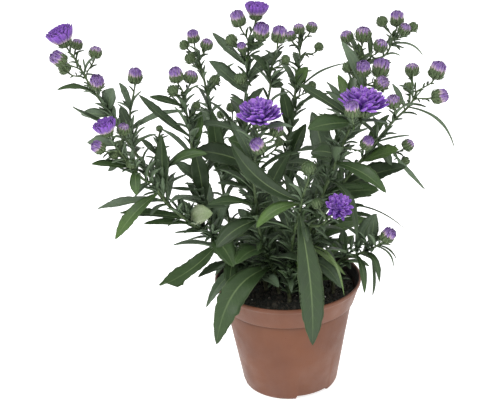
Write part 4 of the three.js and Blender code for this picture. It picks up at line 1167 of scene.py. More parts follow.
def plastic_finish(settings):
    """Satin nursery-pot plastic: faint clouds and upright flow marks, fine scuffs and dust, a painted shade
    line in the groove under the collar, and the inside of the wall darkened in patches toward the soil
    colour."""
    finish = Finish("pot plastic", Specular_IOR_Level=0.4)
    inside = finish.lay()[2]
    upright = finish.upright(0.06)
    flow = finish.noise(260, 3, upright)
    clouds = finish.noise(28, 3)
    specks = finish.cells(420) < finish.noise(60, 2).within(0.45, 0.75, 0.0, 0.16)
    level = finish.add("ShaderNodeSeparateXYZ", None, {"Vector": finish.place()})[2]
    # Painted shade: a dark line in the groove under the collar, blended toward the soil colour
    painted_groove_shade = abs(level - (settings.height - settings.collar - 0.0016)).within(0.0, 0.0024, 0.22, 0.0)
    clay = finish.blend(clouds.within(0.3, 0.7), settings.clay_deep, settings.clay)
    clay = finish.blend(flow.within(0.45, 0.8) * 0.14, clay, settings.clay_pale)
    clay = finish.blend(specks * 0.5, clay, settings.clay_deep, "MULTIPLY")
    clay = finish.blend(painted_groove_shade, clay, settings.soil)
    # The inside of the wall is darkened in noisy patches toward the soil colour, and is rougher and bumpier
    # there
    film = finish.noise(140, 4).within(0.25, 0.5, 0.75, 1.0) * inside
    colour = finish.blend(film, clay, settings.soil)
    rough = finish.noise(90, 3).within(0.3, 0.7, 0.42, 0.56) + film * 0.3
    height = flow * 0.15 + finish.noise(1500, 2) * 0.4 + film * finish.noise(700, 3)
    return finish.show(colour, rough, height, 0.0003)


def soil_finish(settings):
    """Damp potting mix: nearly black peat with brown fibres, and painted shade that darkens the hollows."""
    finish = Finish("potting mix", Specular_IOR_Level=0.35)
    crumbs = finish.noise(620, 5, rough=0.7)
    clods_and_hollow_shade = finish.noise(150, 3)
    colour = finish.blend(crumbs.within(0.42, 0.72), settings.peat, settings.bark)
    # Painted shade: where the clods' noise is low, as in the hollows of the bump, the mix turns to peat
    colour = finish.blend(clods_and_hollow_shade.within(0.3, 0.6), settings.peat, colour)
    return finish.show(colour, crumbs.within(0.3, 0.7, 0.7, 0.95), crumbs + clods_and_hollow_shade, 0.0012)


def bark_finish(settings):
    """Chips of bark in the mix, each of its own brown."""
    finish = Finish("bark chips", Specular_IOR_Level=0.3)
    tint = finish.lay()[2]
    grain = finish.noise(900, 4)
    colour = finish.blend(tint, settings.peat, settings.bark)
    colour = finish.blend(grain.within(0.4, 0.75) * 0.5, colour, settings.fibre)
    return finish.show(colour, grain.within(0.3, 0.7, 0.7, 0.92), grain, 0.0006)


def perlite_finish(settings):
    """Perlite grains: white foam, a little dirty."""
    finish = Finish("perlite", Specular_IOR_Level=0.3)
    dirt = finish.noise(800, 3)
    colour = finish.blend(dirt.within(0.5, 0.75), settings.perlite, settings.bark)
    return finish.show(colour, finish.noise(1500, 2).within(0, 1, 0.75, 0.95), dirt, 0.0004)


def leaf_finish(settings):
    """A leaf's skin: green by the leaf's own tint, with clouds, painted light that turns the outer part of
    the lighter leaves toward young green, a pale midrib and faint side veins that slant forward, a pale rim,
    and a greyer back with the midrib raised."""
    finish = Finish("leaf skin", Specular_IOR_Level=0.36)
    across, along, tint = finish.lay()
    under = finish.under()
    edge = abs(across)
    clouds = finish.noise(95, 3)
    green = finish.shades((tint + (clouds - 0.5) * 0.25) * 0.8, [
        (0.0, settings.blue_green), (0.32, settings.deep_green), (0.55, settings.leaf_green),
        (0.8, settings.young_and_lit_green), (1.0, settings.pale_green),
    ])
    # Painted light: the outer part of the lighter leaves turns toward young green, as if lit through
    green = finish.blend(along.within(0.45, 1.0) * tint.within(0.5, 1.0) * 0.4, green, settings.young_and_lit_green)
    rib = edge.within(0.02, 0.1, 1.0, 0.0) * along.within(0.2, 1.0, 1.0, 0.3)
    slant = (along * 11 - edge * 1.6) * (2 * np.pi)
    veins = slant.sine().within(0.82, 1.0) * edge.within(0.1, 0.5, 1.0, 0.3)
    veins = veins * edge.within(0.75, 1.0, 1.0, 0.0)
    rim = edge.within(0.9, 1.0)
    fleck = finish.noise(900, 2)
    colour = finish.blend(fleck.within(0.35, 0.75) * 0.3, green, settings.deep_green)
    colour = finish.blend(veins * 0.05, colour, settings.rib_green)
    colour = finish.blend(rib * 0.45, colour, settings.rib_green)
    colour = finish.blend(rim * 0.3, colour, settings.rib_green)
    colour = finish.blend(under * 0.6, colour, settings.back_green)
    height = rib * (1 - under * 2) * -0.6 - veins * 0.15 + fleck * 0.3 + clouds * 0.5
    rough = clouds.within(0.3, 0.7, 0.42, 0.58) + under * 0.15
    return finish.show(colour, rough, height, 0.0003)


def stem_finish(settings):
    """A stem's skin: green, browner toward its foot, streaked along its length."""
    finish = Finish("stem skin", Specular_IOR_Level=0.4)
    _, along, tint = finish.lay()
    upright = finish.upright(0.08)
    streaks = finish.noise(900, 3, upright)
    colour = finish.blend(tint, settings.stem_dark, settings.stem_green)
    colour = finish.blend(along.within(0.0, 0.22, 0.8, 0.0), colour, settings.stem_brown)
    colour = finish.blend(streaks.within(0.5, 0.75) * 0.45, colour, settings.rib_green)
    return finish.show(colour, streaks.within(0.3, 0.7, 0.45, 0.62), streaks, 0.0003)


def bract_finish(settings):
    """Bracts: fresh green with a pale papery foot and rim and a darker line down the middle."""
    finish = Finish("bract skin", Specular_IOR_Level=0.35)
    across, along, tint = finish.lay()
    edge = abs(across)
    grain = finish.noise(700, 3)
    colour = finish.blend(tint * 0.7 + grain * 0.3, settings.bract_dark, settings.bract_green)
    colour = finish.blend(edge.within(0.2, 0.95) * 0.55, colour, settings.bract_rim)
    colour = finish.blend(along.within(0.62, 1.0) * 0.6, colour, settings.bract_tip)
    return finish.show(colour, grain.within(0.3, 0.7, 0.5, 0.66), grain, 0.0003)


def petal_finish(settings):
    """Petals of an open or half-open head: violet by the petal's own tint, streaked along, darker toward the
    foot with painted shade in the depth of the head, paler toward the tip's rim, and duller on the back."""
    finish = Finish("petal", Specular_IOR_Level=0.25, Sheen_Weight=0.25, Sheen_Roughness=0.4)
    across, along, tint = finish.lay()
    under = finish.under()
    edge = abs(across)
    stretch = finish.add("ShaderNodeCombineXYZ", None, {"X": across * 4 + tint * 60, "Y": along * 0.9})[0]
    streaks = finish.noise(2.2, 3, stretch)
    violet = finish.shades(
        tint, [(0.0, settings.violet_deep_and_shade), (0.55, settings.violet), (1.0, settings.violet_pale)]
    )
    colour = finish.blend(streaks.within(0.45, 0.7) * 0.45, violet, settings.lilac)
    # Painted shade: the feet of the petals darken toward deep violet, in the depth of the head
    colour = finish.blend(along.within(0.0, 0.45, 0.9, 0.0), colour, settings.violet_deep_and_shade)
    tips = along.within(0.62, 1.0) * edge.within(0.1, 0.9, 0.25, 0.75) * tint.within(0.2, 0.8, 0.4, 1.0)
    colour = finish.blend(tips, colour, settings.lilac)
    colour = finish.blend(under * 0.45, colour, settings.violet_back)
    return finish.show(colour, streaks.within(0.2, 0.8, 0.55, 0.72), streaks, 0.0003)


def bud_finish(name, shades, streak, tip):
    """Petals that stand together: through the given shades from the foot to the tip, streaked along, with
    their edges in the tip's colour."""
    finish = Finish(name, Specular_IOR_Level=0.25, Sheen_Weight=0.2, Sheen_Roughness=0.4)
    across, along, tint = finish.lay()
    edge = abs(across)
    stretch = finish.add("ShaderNodeCombineXYZ", None, {"X": across * 3 + tint * 50, "Y": along * 0.8})[0]
    streaks = finish.noise(2.0, 3, stretch)
    violet = finish.shades(along + (tint - 0.5) * 0.3, shades)
    colour = finish.blend(streaks.within(0.42, 0.7) * 0.3, violet, streak)
    colour = finish.blend(edge.within(0.6, 1.0) * 0.35, colour, tip)
    return finish.show(colour, streaks.within(0.2, 0.8, 0.5, 0.7), streaks, 0.0003)


# Settings


class PotSettings(bpy.types.PropertyGroup):
    """Sizes and colours of the pot and its soil."""

    height: length_property("Height", "From the floor to the top of the lip", POT_HEIGHT)
    rim: length_property("Lip radius", "Radius of the lip", RIM_RADIUS)
    base: length_property("Base radius", "Radius of the underside", 39.5)
    collar: length_property("Collar height", "Height of the collar under the lip", 19)
    step: length_property("Collar step", "How far the collar stands out from the wall", 2.2)
    wall: length_property("Wall", "Thickness of the wall", 1.6)
    floor: length_property("Floor", "Thickness of the floor", 3)
    notch: length_property("Notch height", "Height of the recesses in the edge of the base", 3.6)
    crumbs: IntProperty(name="Crumbs", description="Loose crumbs and chips on the soil", default=1500, min=0)
    grains: IntProperty(name="Perlite", description="White grains on the soil", default=24, min=0)
    clay: colour_property("Plastic", "Colour of the plastic", "#6c3f26")
    clay_deep: colour_property("Deep plastic", "Its deeper clouds", "#623823")
    clay_pale: colour_property("Pale plastic", "Its upright flow marks", "#744b33")
    # This colour also paints the shade line in the groove under the collar, and darkens the inside of the
    # wall in patches
    soil: colour_property("Soil film", "Soil smeared on the inside of the wall", "#1b1613")
    peat: colour_property("Peat", "Darkest part of the potting mix", "#1d201c")
    bark: colour_property("Bark", "Lighter bits of the potting mix", "#3d3933")
    fibre: colour_property("Fibre", "Fibres in the bark", "#544c3e")
    perlite: colour_property("Perlite colour", "White grains in the mix", "#d9d6cf")


class PlantSettings(bpy.types.PropertyGroup):
    """Sizes and colours of the stems and leaves."""

    foot: length_property("Foot radius", "Radius of a stem at the soil", 1.7)
    tip: length_property("Tip radius", "Radius of a stem at its tip", 0.75)
    side: length_property("Side radius", "Radius of a side shoot where it starts", 1.0)
    stalk: length_property("Stalk radius", "Radius of a flower stalk", 0.6)
    leaflets: IntProperty(name="Leaflets", description="Small leaves to a shoot", default=46, min=0)
    tuft: IntProperty(name="Tuft", description="Small leaves that start beside each leaf", default=8, min=0)
    blue_green: colour_property("Blue green", "The bluest leaves", "#65775f")
    deep_green: colour_property("Deep green", "The darkest leaves", "#293921")
    leaf_green: colour_property("Leaf green", "Most leaves", "#3a512b")
    # Young green also paints light on the outer part of the lighter leaves
    young_and_lit_green: colour_property("Young green", "The lightest leaves", "#5d7d33")
    pale_green: colour_property("Pale green", "The one pale leaf", "#8f9a7c")
    back_green: colour_property("Back green", "Underside of a leaf", "#5d7053")
    rib_green: colour_property("Rib green", "Midrib, veins and rim", "#859a68")
    stem_green: colour_property("Stem green", "Lighter stems", "#4c5f38")
    stem_dark: colour_property("Stem dark", "Darker stems", "#27321f")
    stem_brown: colour_property("Stem brown", "Foot of a stem", "#3d3626")
    bract_green: colour_property("Bract green", "Lighter bracts", "#5d7048")
    bract_dark: colour_property("Bract dark", "Darker bracts", "#3c4e31")
    bract_rim: colour_property("Bract rim", "Rim of a bract", "#808f69")
    bract_tip: colour_property("Bract tip", "Tip of a bract", "#3d5230")


class FlowerSettings(bpy.types.PropertyGroup):
    """Colours of the petals."""

    violet: colour_property("Violet", "Most petals", "#7f30c2")
    # Deep violet also paints the shade at the feet of the petals, in the depth of a head
    violet_deep_and_shade: colour_property("Deep violet", "The darkest petals and the depth of a head", "#54209a")
    violet_pale: colour_property("Pale violet", "The lightest petals", "#ac68e2")
    violet_back: colour_property("Back violet", "Back of a petal", "#8446be")
    lilac: colour_property("Lilac", "Streaks and tips", "#cfa8ee")
    brush: colour_property("Brush violet", "Middle of a half-open head's petals", "#6c469a")
    brush_tip: colour_property("Brush tip", "Tips of a half-open head's petals", "#7e4ab6")
    bud_foot: colour_property("Bud foot", "Foot of a bud's petals", "#a9a08f")
    bud_middle: colour_property("Bud middle", "Middle of a bud's petals", "#a791ac")
    bud_violet: colour_property("Bud violet", "Upper part of a bud's petals", "#7f62a2")
    bud_tip: colour_property("Bud tip", "Tips of a bud's petals", "#66448c")


class StageSettings(bpy.types.PropertyGroup):
    """The floor, the light and the camera."""

    floor: colour_property("Floor", "Colour of the floor", "#f4f4f4")
    glow: FloatProperty(
        name="Glow", description="Light of the floor's own, as of a lit table", default=0.7, min=0
    )
    sky: FloatProperty(name="Sky", description="Strength of the even light", default=0.9, min=0)
    key: FloatProperty(
        name="Key light", description="Power of the large soft light", default=17, min=0, unit="POWER"
    )
    fill: FloatProperty(
        name="Fill light", description="Power of the weaker one", default=4, min=0, unit="POWER"
    )
    distance: length_property("Camera distance", "From the camera to what it looks at", 1000)
    elevation: FloatProperty(
        name="Elevation", description="How far the camera looks down", default=np.radians(23), subtype="ANGLE"
    )
    lean: FloatProperty(
        name="Lean", description="How far the camera is turned clockwise", default=np.radians(2.2),
        subtype="ANGLE",
    )


# Pieces

PLAN = Plan()


def grain_shapes(draw, places, sizes, rows, ring):
    """Rough pebbles: a ball worked out on a grid of latitude and longitude, stretched by a random amount each
    way, turned at random and roughened by a sum of sines of the direction."""
    count = len(places)
    latitude = np.pi * np.arange(1, rows + 1) / (rows + 1)
    longitude = 2 * np.pi * np.arange(ring) / ring
    ball = np.stack([
        np.sin(latitude)[:, None] * np.cos(longitude), np.sin(latitude)[:, None] * np.sin(longitude),
        np.cos(latitude)[:, None] * np.ones(ring),
    ], -1)
    ball = np.concatenate([ball.reshape(-1, 3), [[0, 0, 1]], [[0, 0, -1]]])
    phase = draw.uniform(0, 2 * np.pi, (count, 1, 3))
    rough = 1 + 0.22 * np.sin(3.1 * ball[None, :, :] + phase).sum(-1, keepdims=True) / 1.7
    shape = ball[None] * rough * draw.uniform(0.6, 1.4, (count, 1, 3)) * sizes[:, None, None]
    turns = np.linalg.qr(draw.normal(size=(count, 3, 3)))[0]
    turns = turns * np.sign(np.linalg.det(turns))[:, None, None]
    shape = shape @ turns + places[:, None]
    return shape[:, :-2].reshape(count, rows, ring, 3), shape[:, -2], shape[:, -1]


def wall_top(rim, step):
    """The wall's outer radius just under the collar, in millimetres."""
    return rim - LIP_EDGE - COLLAR_TAPER - step


class ASTER_OT_pot(bpy.types.Operator):
    """Build the pot: one wall turned about the axis, with three recesses in the edge of its base"""

    bl_idname = "aster.pot"
    bl_label = "Pot"

    def execute(self, context):
        """The wall is a closed outline of radius and height, carried round the axis. In a recess the
        outline's points beyond its inner edge are raised to its height."""
        s = context.scene.aster_pot
        height, rim, base, collar, step, wall, floor, notch = (
            value / MM for value in (s.height, s.rim, s.base, s.collar, s.step, s.wall, s.floor, s.notch)
        )
        low = height - collar
        top = wall_top(rim, step)
        inner = base - 9
        outline = np.array([
            (12, 0, 0), (inner, 0, 0), (inner + 0.3, 0, 0), (base - 3, 0, 0), (base - 1.2, 0.5, 0),
            (base, 2.5, 0),
            (mix(base, top, 0.5), mix(2.5, low - 1, 0.5), 0), (top - 0.2, low - 3.2, 0),
            (top - 0.6, low - 2.2, 0),
            (top - 0.5, low - 1.3, 0), (top + 0.4, low - 0.5, 0),
            (top + step - 0.2, low - 0.1, 0), (top + step + 0.1, low + 0.5, 0), (rim - 1.3, height - 5, 0),
            (rim - 0.8, height - 3.4, 0), (rim - 0.1, height - 2.8, 0), (rim, height - 2.2, 0),
            (rim, height - 0.5, 0), (rim - LIP_EDGE, height, 0), (rim - wall + 0.2, height, 0.0),
            (rim - wall - 0.2, height - 0.6, 0.6), (rim - wall - 0.8, height - 3, 1),
            (top + step - wall, low + 1.5, 1),
            (top - wall, low, 1), (base - wall, floor + 1, 1), (base - wall - 1, floor, 1), (12, floor, 1),
        ])
        angle = np.radians(np.arange(0, 360, 2.0))
        apart = np.abs((angle[:, None] - RECESSES + np.pi) % (2 * np.pi) - np.pi).min(1)
        raised = np.clip((RECESS_HALF_ANGLE - apart) / np.radians(1.0), 0, 1)
        radius, level, inside = outline.T
        level = np.where(
            (np.arange(len(level)) >= 2) & (np.arange(len(level)) <= 5),
            np.maximum(level, notch * raised[:, None]), level,
        )
        angle = angle[:, None]
        grid = np.stack([radius * np.cos(angle), radius * np.sin(angle), level * np.ones_like(angle)], -1)
        surface = Surface()
        grid = grid.transpose(1, 0, 2)[None]
        lay = np.zeros(grid.shape)
        lay[..., 2] = inside[None, :, None]
        surface.add(grid, lay, 0.0, start=np.array([[0.0, 0.0, 0.0]]), end=np.array([[0.0, 0.0, floor]]))
        pot = surface.piece("nursery_pot", [plastic_finish(s)], ["pot"])
        drain_holes(pot, floor)
        return {"FINISHED"}


def drain_holes(pot, floor):
    """Cuts a round drain hole beside each recess of the base."""
    holes = Surface()
    for turn in RECESSES:
        at = DRAIN_RING * np.array([np.cos(turn), np.sin(turn), 0.0])
        outline = [(0, -2), (DRAIN_RADIUS, -2), (DRAIN_RADIUS, floor + 2), (0, floor + 2)]
        turned_body(holes, at, UP, outline, 1, 32, 0)
    cutter = holes.piece("drain_cutter", [])
    cut = pot.modifiers.new("drain holes", "BOOLEAN")
    cut.object, cut.operation, cut.solver = cutter, "DIFFERENCE", "EXACT"
    bpy.context.view_layer.update()
    made = bpy.data.meshes.new_from_object(pot.evaluated_get(bpy.context.evaluated_depsgraph_get()))
    pot.modifiers.clear()
    pot.data = made
    bpy.data.objects.remove(cutter)


class ASTER_OT_soil(bpy.types.Operator):
    """Fill the pot with potting mix, with loose crumbs, chips of bark and grains of perlite on it"""

    bl_idname = "aster.soil"
    bl_label = "Soil"

    def execute(self, context):
        """The top's height is the solid's crumb wave plus finer waves of the place, and it falls off at the
        wall."""
        s = context.scene.aster_pot
        low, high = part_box("soil")
        reach = high.x / MM
        floor = s.floor / MM + 1.4
        angle = 2 * np.pi * np.arange(144) / 144
        share = np.concatenate([np.linspace(0.015, 0.96, 46), [0.975, 0.988, 0.996]])
        x, y = np.cos(angle) * share[:, None] * reach, np.sin(angle) * share[:, None] * reach
        z = SOIL_TOP - 0.5 + self.relief(x, y) - 1.2 * np.clip(share[:, None] - 0.93, 0, 1) * 10
        top = np.stack([x, y, z], -1)[::-1]
        side = np.array([
            (wall_top(s.rim / MM, s.step / MM) - s.wall / MM - 0.5, 74.4),
            (s.base / MM - s.wall / MM - 0.5, floor),
        ])
        flank = np.stack([
            side[:, :1] * np.cos(angle), side[:, :1] * np.sin(angle), side[:, 1:] * np.ones_like(angle)
        ], -1)[::-1]
        surface = Surface()
        grid = np.concatenate([flank, top])[None]
        surface.add(grid, 0.5, 0.0, MIX_LOOK, start=np.array([[0, 0, floor]]), end=top[-1].mean(0)[None])
        draw = np.random.default_rng(SEEDS["soil"])
        for count, sizes, look, rows, ring in (
            (s.crumbs, (0.35, 1.5), BARK_LOOK, 2, 6),
            (s.crumbs // 12, (1.4, 2.6), BARK_LOOK, 3, 8),
            (s.grains, (0.5, 1.3), PERLITE_LOOK, 3, 8),
        ):
            turn, out = draw.uniform(0, 2 * np.pi, count), np.sqrt(draw.uniform(0, 1, count)) * (reach - 2)
            x, y = out * np.cos(turn), out * np.sin(turn)
            size = draw.uniform(0, 1, count) ** 2 * (sizes[1] - sizes[0]) + sizes[0]
            places = np.stack([x, y, SOIL_TOP - 0.4 + self.relief(x, y) + size * 0.1], -1)
            shapes, first, last = grain_shapes(draw, places, size, rows, ring)
            tint = draw.uniform(0, 1, count)[:, None, None, None] * np.array([0, 0, 1.0])
            surface.add(shapes, tint, 0.0, look, start=first, end=last)
        looks = [soil_finish(s), bark_finish(s), perlite_finish(s)]
        surface.piece("potting_mix", looks, ["soil"])
        return {"FINISHED"}

    def relief(self, x, y):
        """How far the soil stands up: two sums of products of sines and cosines of the place."""
        wave = np.sin(0.31 * x + 1.1) * np.cos(0.27 * y) + 0.6 * np.sin(0.53 * x - 0.44 * y)
        fine = np.sin(1.7 * x + 0.6 * y) * np.cos(1.3 * y - 0.4 * x)
        fine = fine + 0.6 * np.sin(3.1 * x) * np.sin(2.7 * y + 1)
        return 0.5 * wave + 0.35 * fine


def small_leaf(draw, root, way, long, slimness, most_rise, height):
    """A blade from its root along a way, of a random width between two shares of its length and a random
    arch."""
    blade = Blade(root, root + way * long, long * draw.uniform(*slimness), draw.uniform(0, most_rise), 0)
    blade.height = height
    return blade


class ASTER_OT_leafy_stems(bpy.types.Operator):
    """Grow each leafy stem: its shoots, leaves, leaflets, flower stalks, cups and closed buds"""

    bl_idname = "aster.leafy_stems"
    bl_label = "Leafy stems"

    def execute(self, context):
        s = context.scene.aster_plant
        looks = [stem_finish(s), leaf_finish(s), bract_finish(s)]
        for number, name in enumerate(SHOOTS):
            surface = Surface()
            self.shoots(surface, s, name, number)
            self.leaves(surface, s, name, number)
            self.stalks(surface, s, name, number)
            surface.piece(f"leafy_stem_{name}", looks, [f"stem_{name}"])
        return {"FINISHED"}

    def shoots(self, surface, s, name, number):
        """Each shoot is a ribbed rod that thins toward its tip, and swells a little every 14 millimetres
        along it.
        """
        tone = 0.35 + 0.4 * np.random.default_rng(number).uniform()
        x, y = SHOOTS[name]["foot"]
        foot = Shoot([(x, y, 80), (x, y, 84), (x, y, STEM_START + 0.5)])
        grid = rod(foot, np.linspace(0, 1, 4), np.full(4, s.foot / MM), 10, 0.05)
        surface.add(grid, (0, 0, tone), 0.0, STEM_LOOK, start=foot.at(0.0)[None], end=foot.at(1.0)[None])
        for shoot in PLAN.shoots.values():
            if shoot["stem"] != name:
                continue
            curve = shoot["curve"]
            t = np.linspace(0, 1, 12 * shoot["steps"])
            main = shoot["radius"] == FOOT_RADIUS
            radii = mix(s.foot if main else s.side, s.tip, t) / MM
            radii = radii * (1 + 0.08 * np.maximum(0, np.sin(2 * np.pi * t * length_of(curve) / 14)) ** 6)
            grid = rod(curve, t, radii, 10, 0.05)
            along = t[:, None] if main else 0.5 + 0.5 * t[:, None]
            end = curve.at(1.0) + heading(curve, 1.0) * 0.8
            lay = rod_lay(along, tone, len(t), 10)
            surface.add(grid, lay, 0.0, STEM_LOOK, start=curve.at(0.0)[None], end=end[None])

    def leaves(self, surface, s, name, number):
        """The plan's leaves, then small ones up each shoot, which point out and up from it in a spiral."""
        own = [blade for blade in PLAN.leaves if blade.stem == name]

        # The left-hand stems' leaves are paler: partly their own bluer green, partly painted light on the lit
        # side
        def fresh(blades):
            return np.array([0.62 - 0.5 * blade.height - BLUER_AND_LIT.get(name, 0.0) for blade in blades])

        broad = [blade for blade in own if blade.length >= BROAD_LEAF]
        slim = [blade for blade in own if blade.length < BROAD_LEAF]
        leaf_blades(surface, broad, 27, WIDE, SEEDS["broad"] + number, fresh(broad))
        leaf_blades(surface, slim, 15, SLIM, SEEDS["slim"] + number, fresh(slim))
        draw = np.random.default_rng(SEEDS["leaflets"] + number)
        small = []
        for shoot in PLAN.shoots.values():
            if shoot["stem"] != name:
                continue
            count = int(s.leaflets * SPARSE.get(name, 1.0) * min(1.0, length_of(shoot["curve"]) / 170))
            for i, at in enumerate(0.1 + 0.85 * np.linspace(0, 1, count) ** 1.5):
                root = shoot["curve"].at(at)
                along = heading(shoot["curve"], at)
                turn = np.radians(GOLDEN_ANGLE) * i + draw.uniform(-0.4, 0.4)
                out = turned_about(any_side(along), along, turn)
                long = mix(24, 9, at) * draw.uniform(0.65, 1.2)
                way = unit(out + along * draw.uniform(0.3, 1.1) + UP * draw.uniform(-0.1, 0.3))
                small.append(small_leaf(draw, root, way, long, (0.17, 0.28), 0.14, at))
        for blade in own:
            root, _, tip = blade.midrib.points
            lean = unit(unit(tip - root) * 0.7 + UP)
            for _ in range(int(s.tuft * SPARSE.get(name, 1.0) * mix(1.5, 0.3, blade.height))):
                way = unit(lean + draw.normal(0, 0.42, 3))
                long = draw.uniform(9, 19) * mix(1.25, 0.6, blade.height)
                start = root + lean * draw.uniform(0, 7)
                small.append(small_leaf(draw, start, way, long, (0.16, 0.26), 0.12, blade.height))
        small = inside_plant(small)
        leaf_blades(surface, small, 7, THIN, SEEDS["small"] + number, fresh(small) - 0.1)

    def stalks(self, surface, s, name, number):
        """Each stalk is a rod that widens into its cup, with a few bracts on it."""
        draw = np.random.default_rng(SEEDS["stalks"] + number)
        small = []
        for k, head in enumerate(head for head in PLAN.heads if head["stem"] == name):
            curve, cup = head["stalk"], head["cup"]
            t = np.linspace(0, 1, 12)
            radii = s.stalk / MM * (1 + 0.5 * np.clip(t - 0.8, 0, 1) * 5 * 0.6)
            grid = rod(curve, t, radii, 8)
            lay = rod_lay(0.6, 0.7, len(t), 8)
            surface.add(grid, lay, 0.0, STEM_LOOK, start=curve.at(0.0)[None], end=curve.at(1.0)[None])
            long = length_of(curve)
            for at in np.linspace(0.2, 0.97, max(3, int(long / 3.2))):
                along = heading(curve, at)
                out = turned_about(any_side(along), along, draw.uniform(0, 2 * np.pi))
                root = curve.at(at)
                size = draw.uniform(3.5, 8.5)
                way = unit(out + along * draw.uniform(0.4, 1.0))
                small.append(small_leaf(draw, root, way, size, (0.2, 0.3), 0.12, at))
            self.cup(surface, head, SEEDS["cups"] + CUPS_TO_A_STEM * number + k)
        leaf_blades(surface, inside_plant(small), 6, THIN, SEEDS["bracts"] + number, 0.5)

    def cup(self, surface, head, seed):
        """A cup or closed bud: a rounded body under four rows of overlapping bracts."""
        base, face, size = head["base"], head["face"], head["cup"]
        form = head["form"]
        outline = CLOSED_CUP if form == "green" else OPEN_CUP
        turned_body(surface, base, face, outline, size, 14, BRACT_LOOK, 0.4)
        cup_bracts(surface, head, CUP_LAYERS["open" if form == "brush" else form], BRACT_LOOK, seed)


# The rounded body of a closed bud and of a cup, as radius and height in shares of the diameter
CLOSED_CUP = [
    (0, -0.02), (0.12, 0.0), (0.3, 0.1), (0.39, 0.26), (0.4, 0.46), (0.34, 0.62), (0.2, 0.74), (0, 0.76),
]
OPEN_CUP = [(0, -0.02), (0.12, 0.0), (0.3, 0.1), (0.38, 0.22), (0.4, 0.33), (0.36, 0.36), (0, 0.355)]

# Layers of bracts on a cup and of petals in a head, in the terms of ray_layers
BUD_CUP_LAYERS = [
    (8, (0.12, 0.0), (0.42, 0.02), (0.52, 0.26), 0.18, 0.06),
    (10, (0.2, 0.03), (0.48, 0.14), (0.5, 0.44), 0.2, 0.04),
    (12, (0.3, 0.08), (0.5, 0.3), (0.45, 0.6), 0.21, 0.035),
    (13, (0.36, 0.18), (0.49, 0.46), (0.37, 0.72), 0.21, 0.035),
]
CUP_LAYERS = {
    "green": [
        (8, (0.16, 0.02), (0.48, 0.1), (0.52, 0.36), 0.2, 0.05),
        (10, (0.26, 0.06), (0.5, 0.28), (0.5, 0.56), 0.22, 0.04),
        (11, (0.36, 0.18), (0.46, 0.5), (0.34, 0.74), 0.22, 0.03),
        (9, (0.38, 0.36), (0.4, 0.72), (0.12, 0.84), 0.2, 0.03),
    ],
    "barrel": BUD_CUP_LAYERS,
    "tipped": BUD_CUP_LAYERS,
    "open": [
        (8, (0.12, 0.0), (0.42, 0.02), (0.52, 0.24), 0.18, 0.07),
        (10, (0.2, 0.03), (0.47, 0.12), (0.5, 0.38), 0.2, 0.04),
        (12, (0.3, 0.08), (0.48, 0.26), (0.46, 0.5), 0.2, 0.03),
        (13, (0.36, 0.18), (0.47, 0.4), (0.42, 0.6), 0.2, 0.03),
    ],
}
OPEN_LAYERS = [
    (12, (0.07, 0.03), (0.3, 0.03), (0.48, 0.19), 0.155, 0.035),
    (14, (0.07, 0.05), (0.29, 0.1), (0.44, 0.27), 0.15, 0.035),
    (16, (0.06, 0.07), (0.26, 0.16), (0.39, 0.335), 0.14, 0.03),
    (17, (0.06, 0.09), (0.2, 0.21), (0.33, 0.38), 0.13, 0.03),
    (16, (0.05, 0.1), (0.15, 0.25), (0.26, 0.405), 0.12, 0.025),
    (13, (0.04, 0.11), (0.1, 0.27), (0.18, 0.41), 0.105, 0.02),
    (9, (0.03, 0.11), (0.06, 0.27), (0.11, 0.405), 0.095, 0.02),
    (5, (0.01, 0.11), (0.02, 0.26), (0.04, 0.395), 0.08, 0.02),
]
BRUSH_LAYERS = [
    (21, (0.26, 0.02), (0.37, 0.12), (0.44, 0.38), 0.175, 0.014),
    (19, (0.22, 0.0), (0.34, 0.2), (0.4, 0.415), 0.165, 0.014),
    (17, (0.17, 0.0), (0.27, 0.22), (0.335, 0.44), 0.155, 0.014),
    (14, (0.12, 0.0), (0.2, 0.25), (0.26, 0.45), 0.15, 0.014),
    (10, (0.07, 0.0), (0.13, 0.25), (0.18, 0.455), 0.14, 0.012),
    (6, (0.03, 0.0), (0.06, 0.25), (0.09, 0.455), 0.13, 0.01),
]

# Buds that show their petals' length, and younger ones that show only the tips
BARREL_LAYERS = [
    (15, (0.34, -0.06), (0.46, 0.2), (0.36, 0.5), 0.2, 0.025),
    (13, (0.32, 0.0), (0.43, 0.32), (0.26, 0.58), 0.2, 0.025),
    (10, (0.25, 0.0), (0.34, 0.42), (0.16, 0.63), 0.19, 0.02),
    (5, (0.12, 0.0), (0.18, 0.44), (0.06, 0.64), 0.16, 0.02),
]
TIPPED_LAYERS = [
    (14, (0.34, -0.06), (0.43, 0.15), (0.3, 0.34), 0.2, 0.018),
    (12, (0.28, 0.0), (0.38, 0.27), (0.17, 0.42), 0.19, 0.018),
    (6, (0.16, 0.0), (0.2, 0.32), (0.05, 0.44), 0.17, 0.01),
]

# The body that fills each form's middle, as radius and height in shares of the head's diameter
CORES = {
    "open": [(0, 0), (0.12, 0.01), (0.18, 0.12), (0.17, 0.26), (0, 0.34)],
    "brush": [(0, 0), (0.22, 0.01), (0.28, 0.12), (0.29, 0.27), (0.2, 0.36), (0, 0.38)],
    "barrel": [(0, 0), (0.33, 0.01), (0.37, 0.2), (0.33, 0.38), (0.22, 0.52), (0, 0.57)],
    "tipped": [(0, 0), (0.33, 0.01), (0.34, 0.14), (0.24, 0.31), (0, 0.38)],
}


def flowers(prefix, kind, layers, looks):
    """One piece for each head of the forms that have layers, numbered on each stem as the solids are."""
    count = {}
    for number, head in enumerate(PLAN.heads):
        if head["form"] not in layers:
            continue
        stem = head["stem"]
        count[stem] = count.get(stem, 0) + 1
        surface = Surface()
        turned_body(surface, head["seat"], head["face"], CORES[head["form"]], head["size"], 14, 0, 0.1)
        ray_petals(surface, head, layers[head["form"]], 0, SEEDS["petals"] + number)
        name = f"{stem}_{count[stem]}"
        surface.piece(f"{kind}_{name}", looks[head["form"]], [f"{prefix}_{name}"])


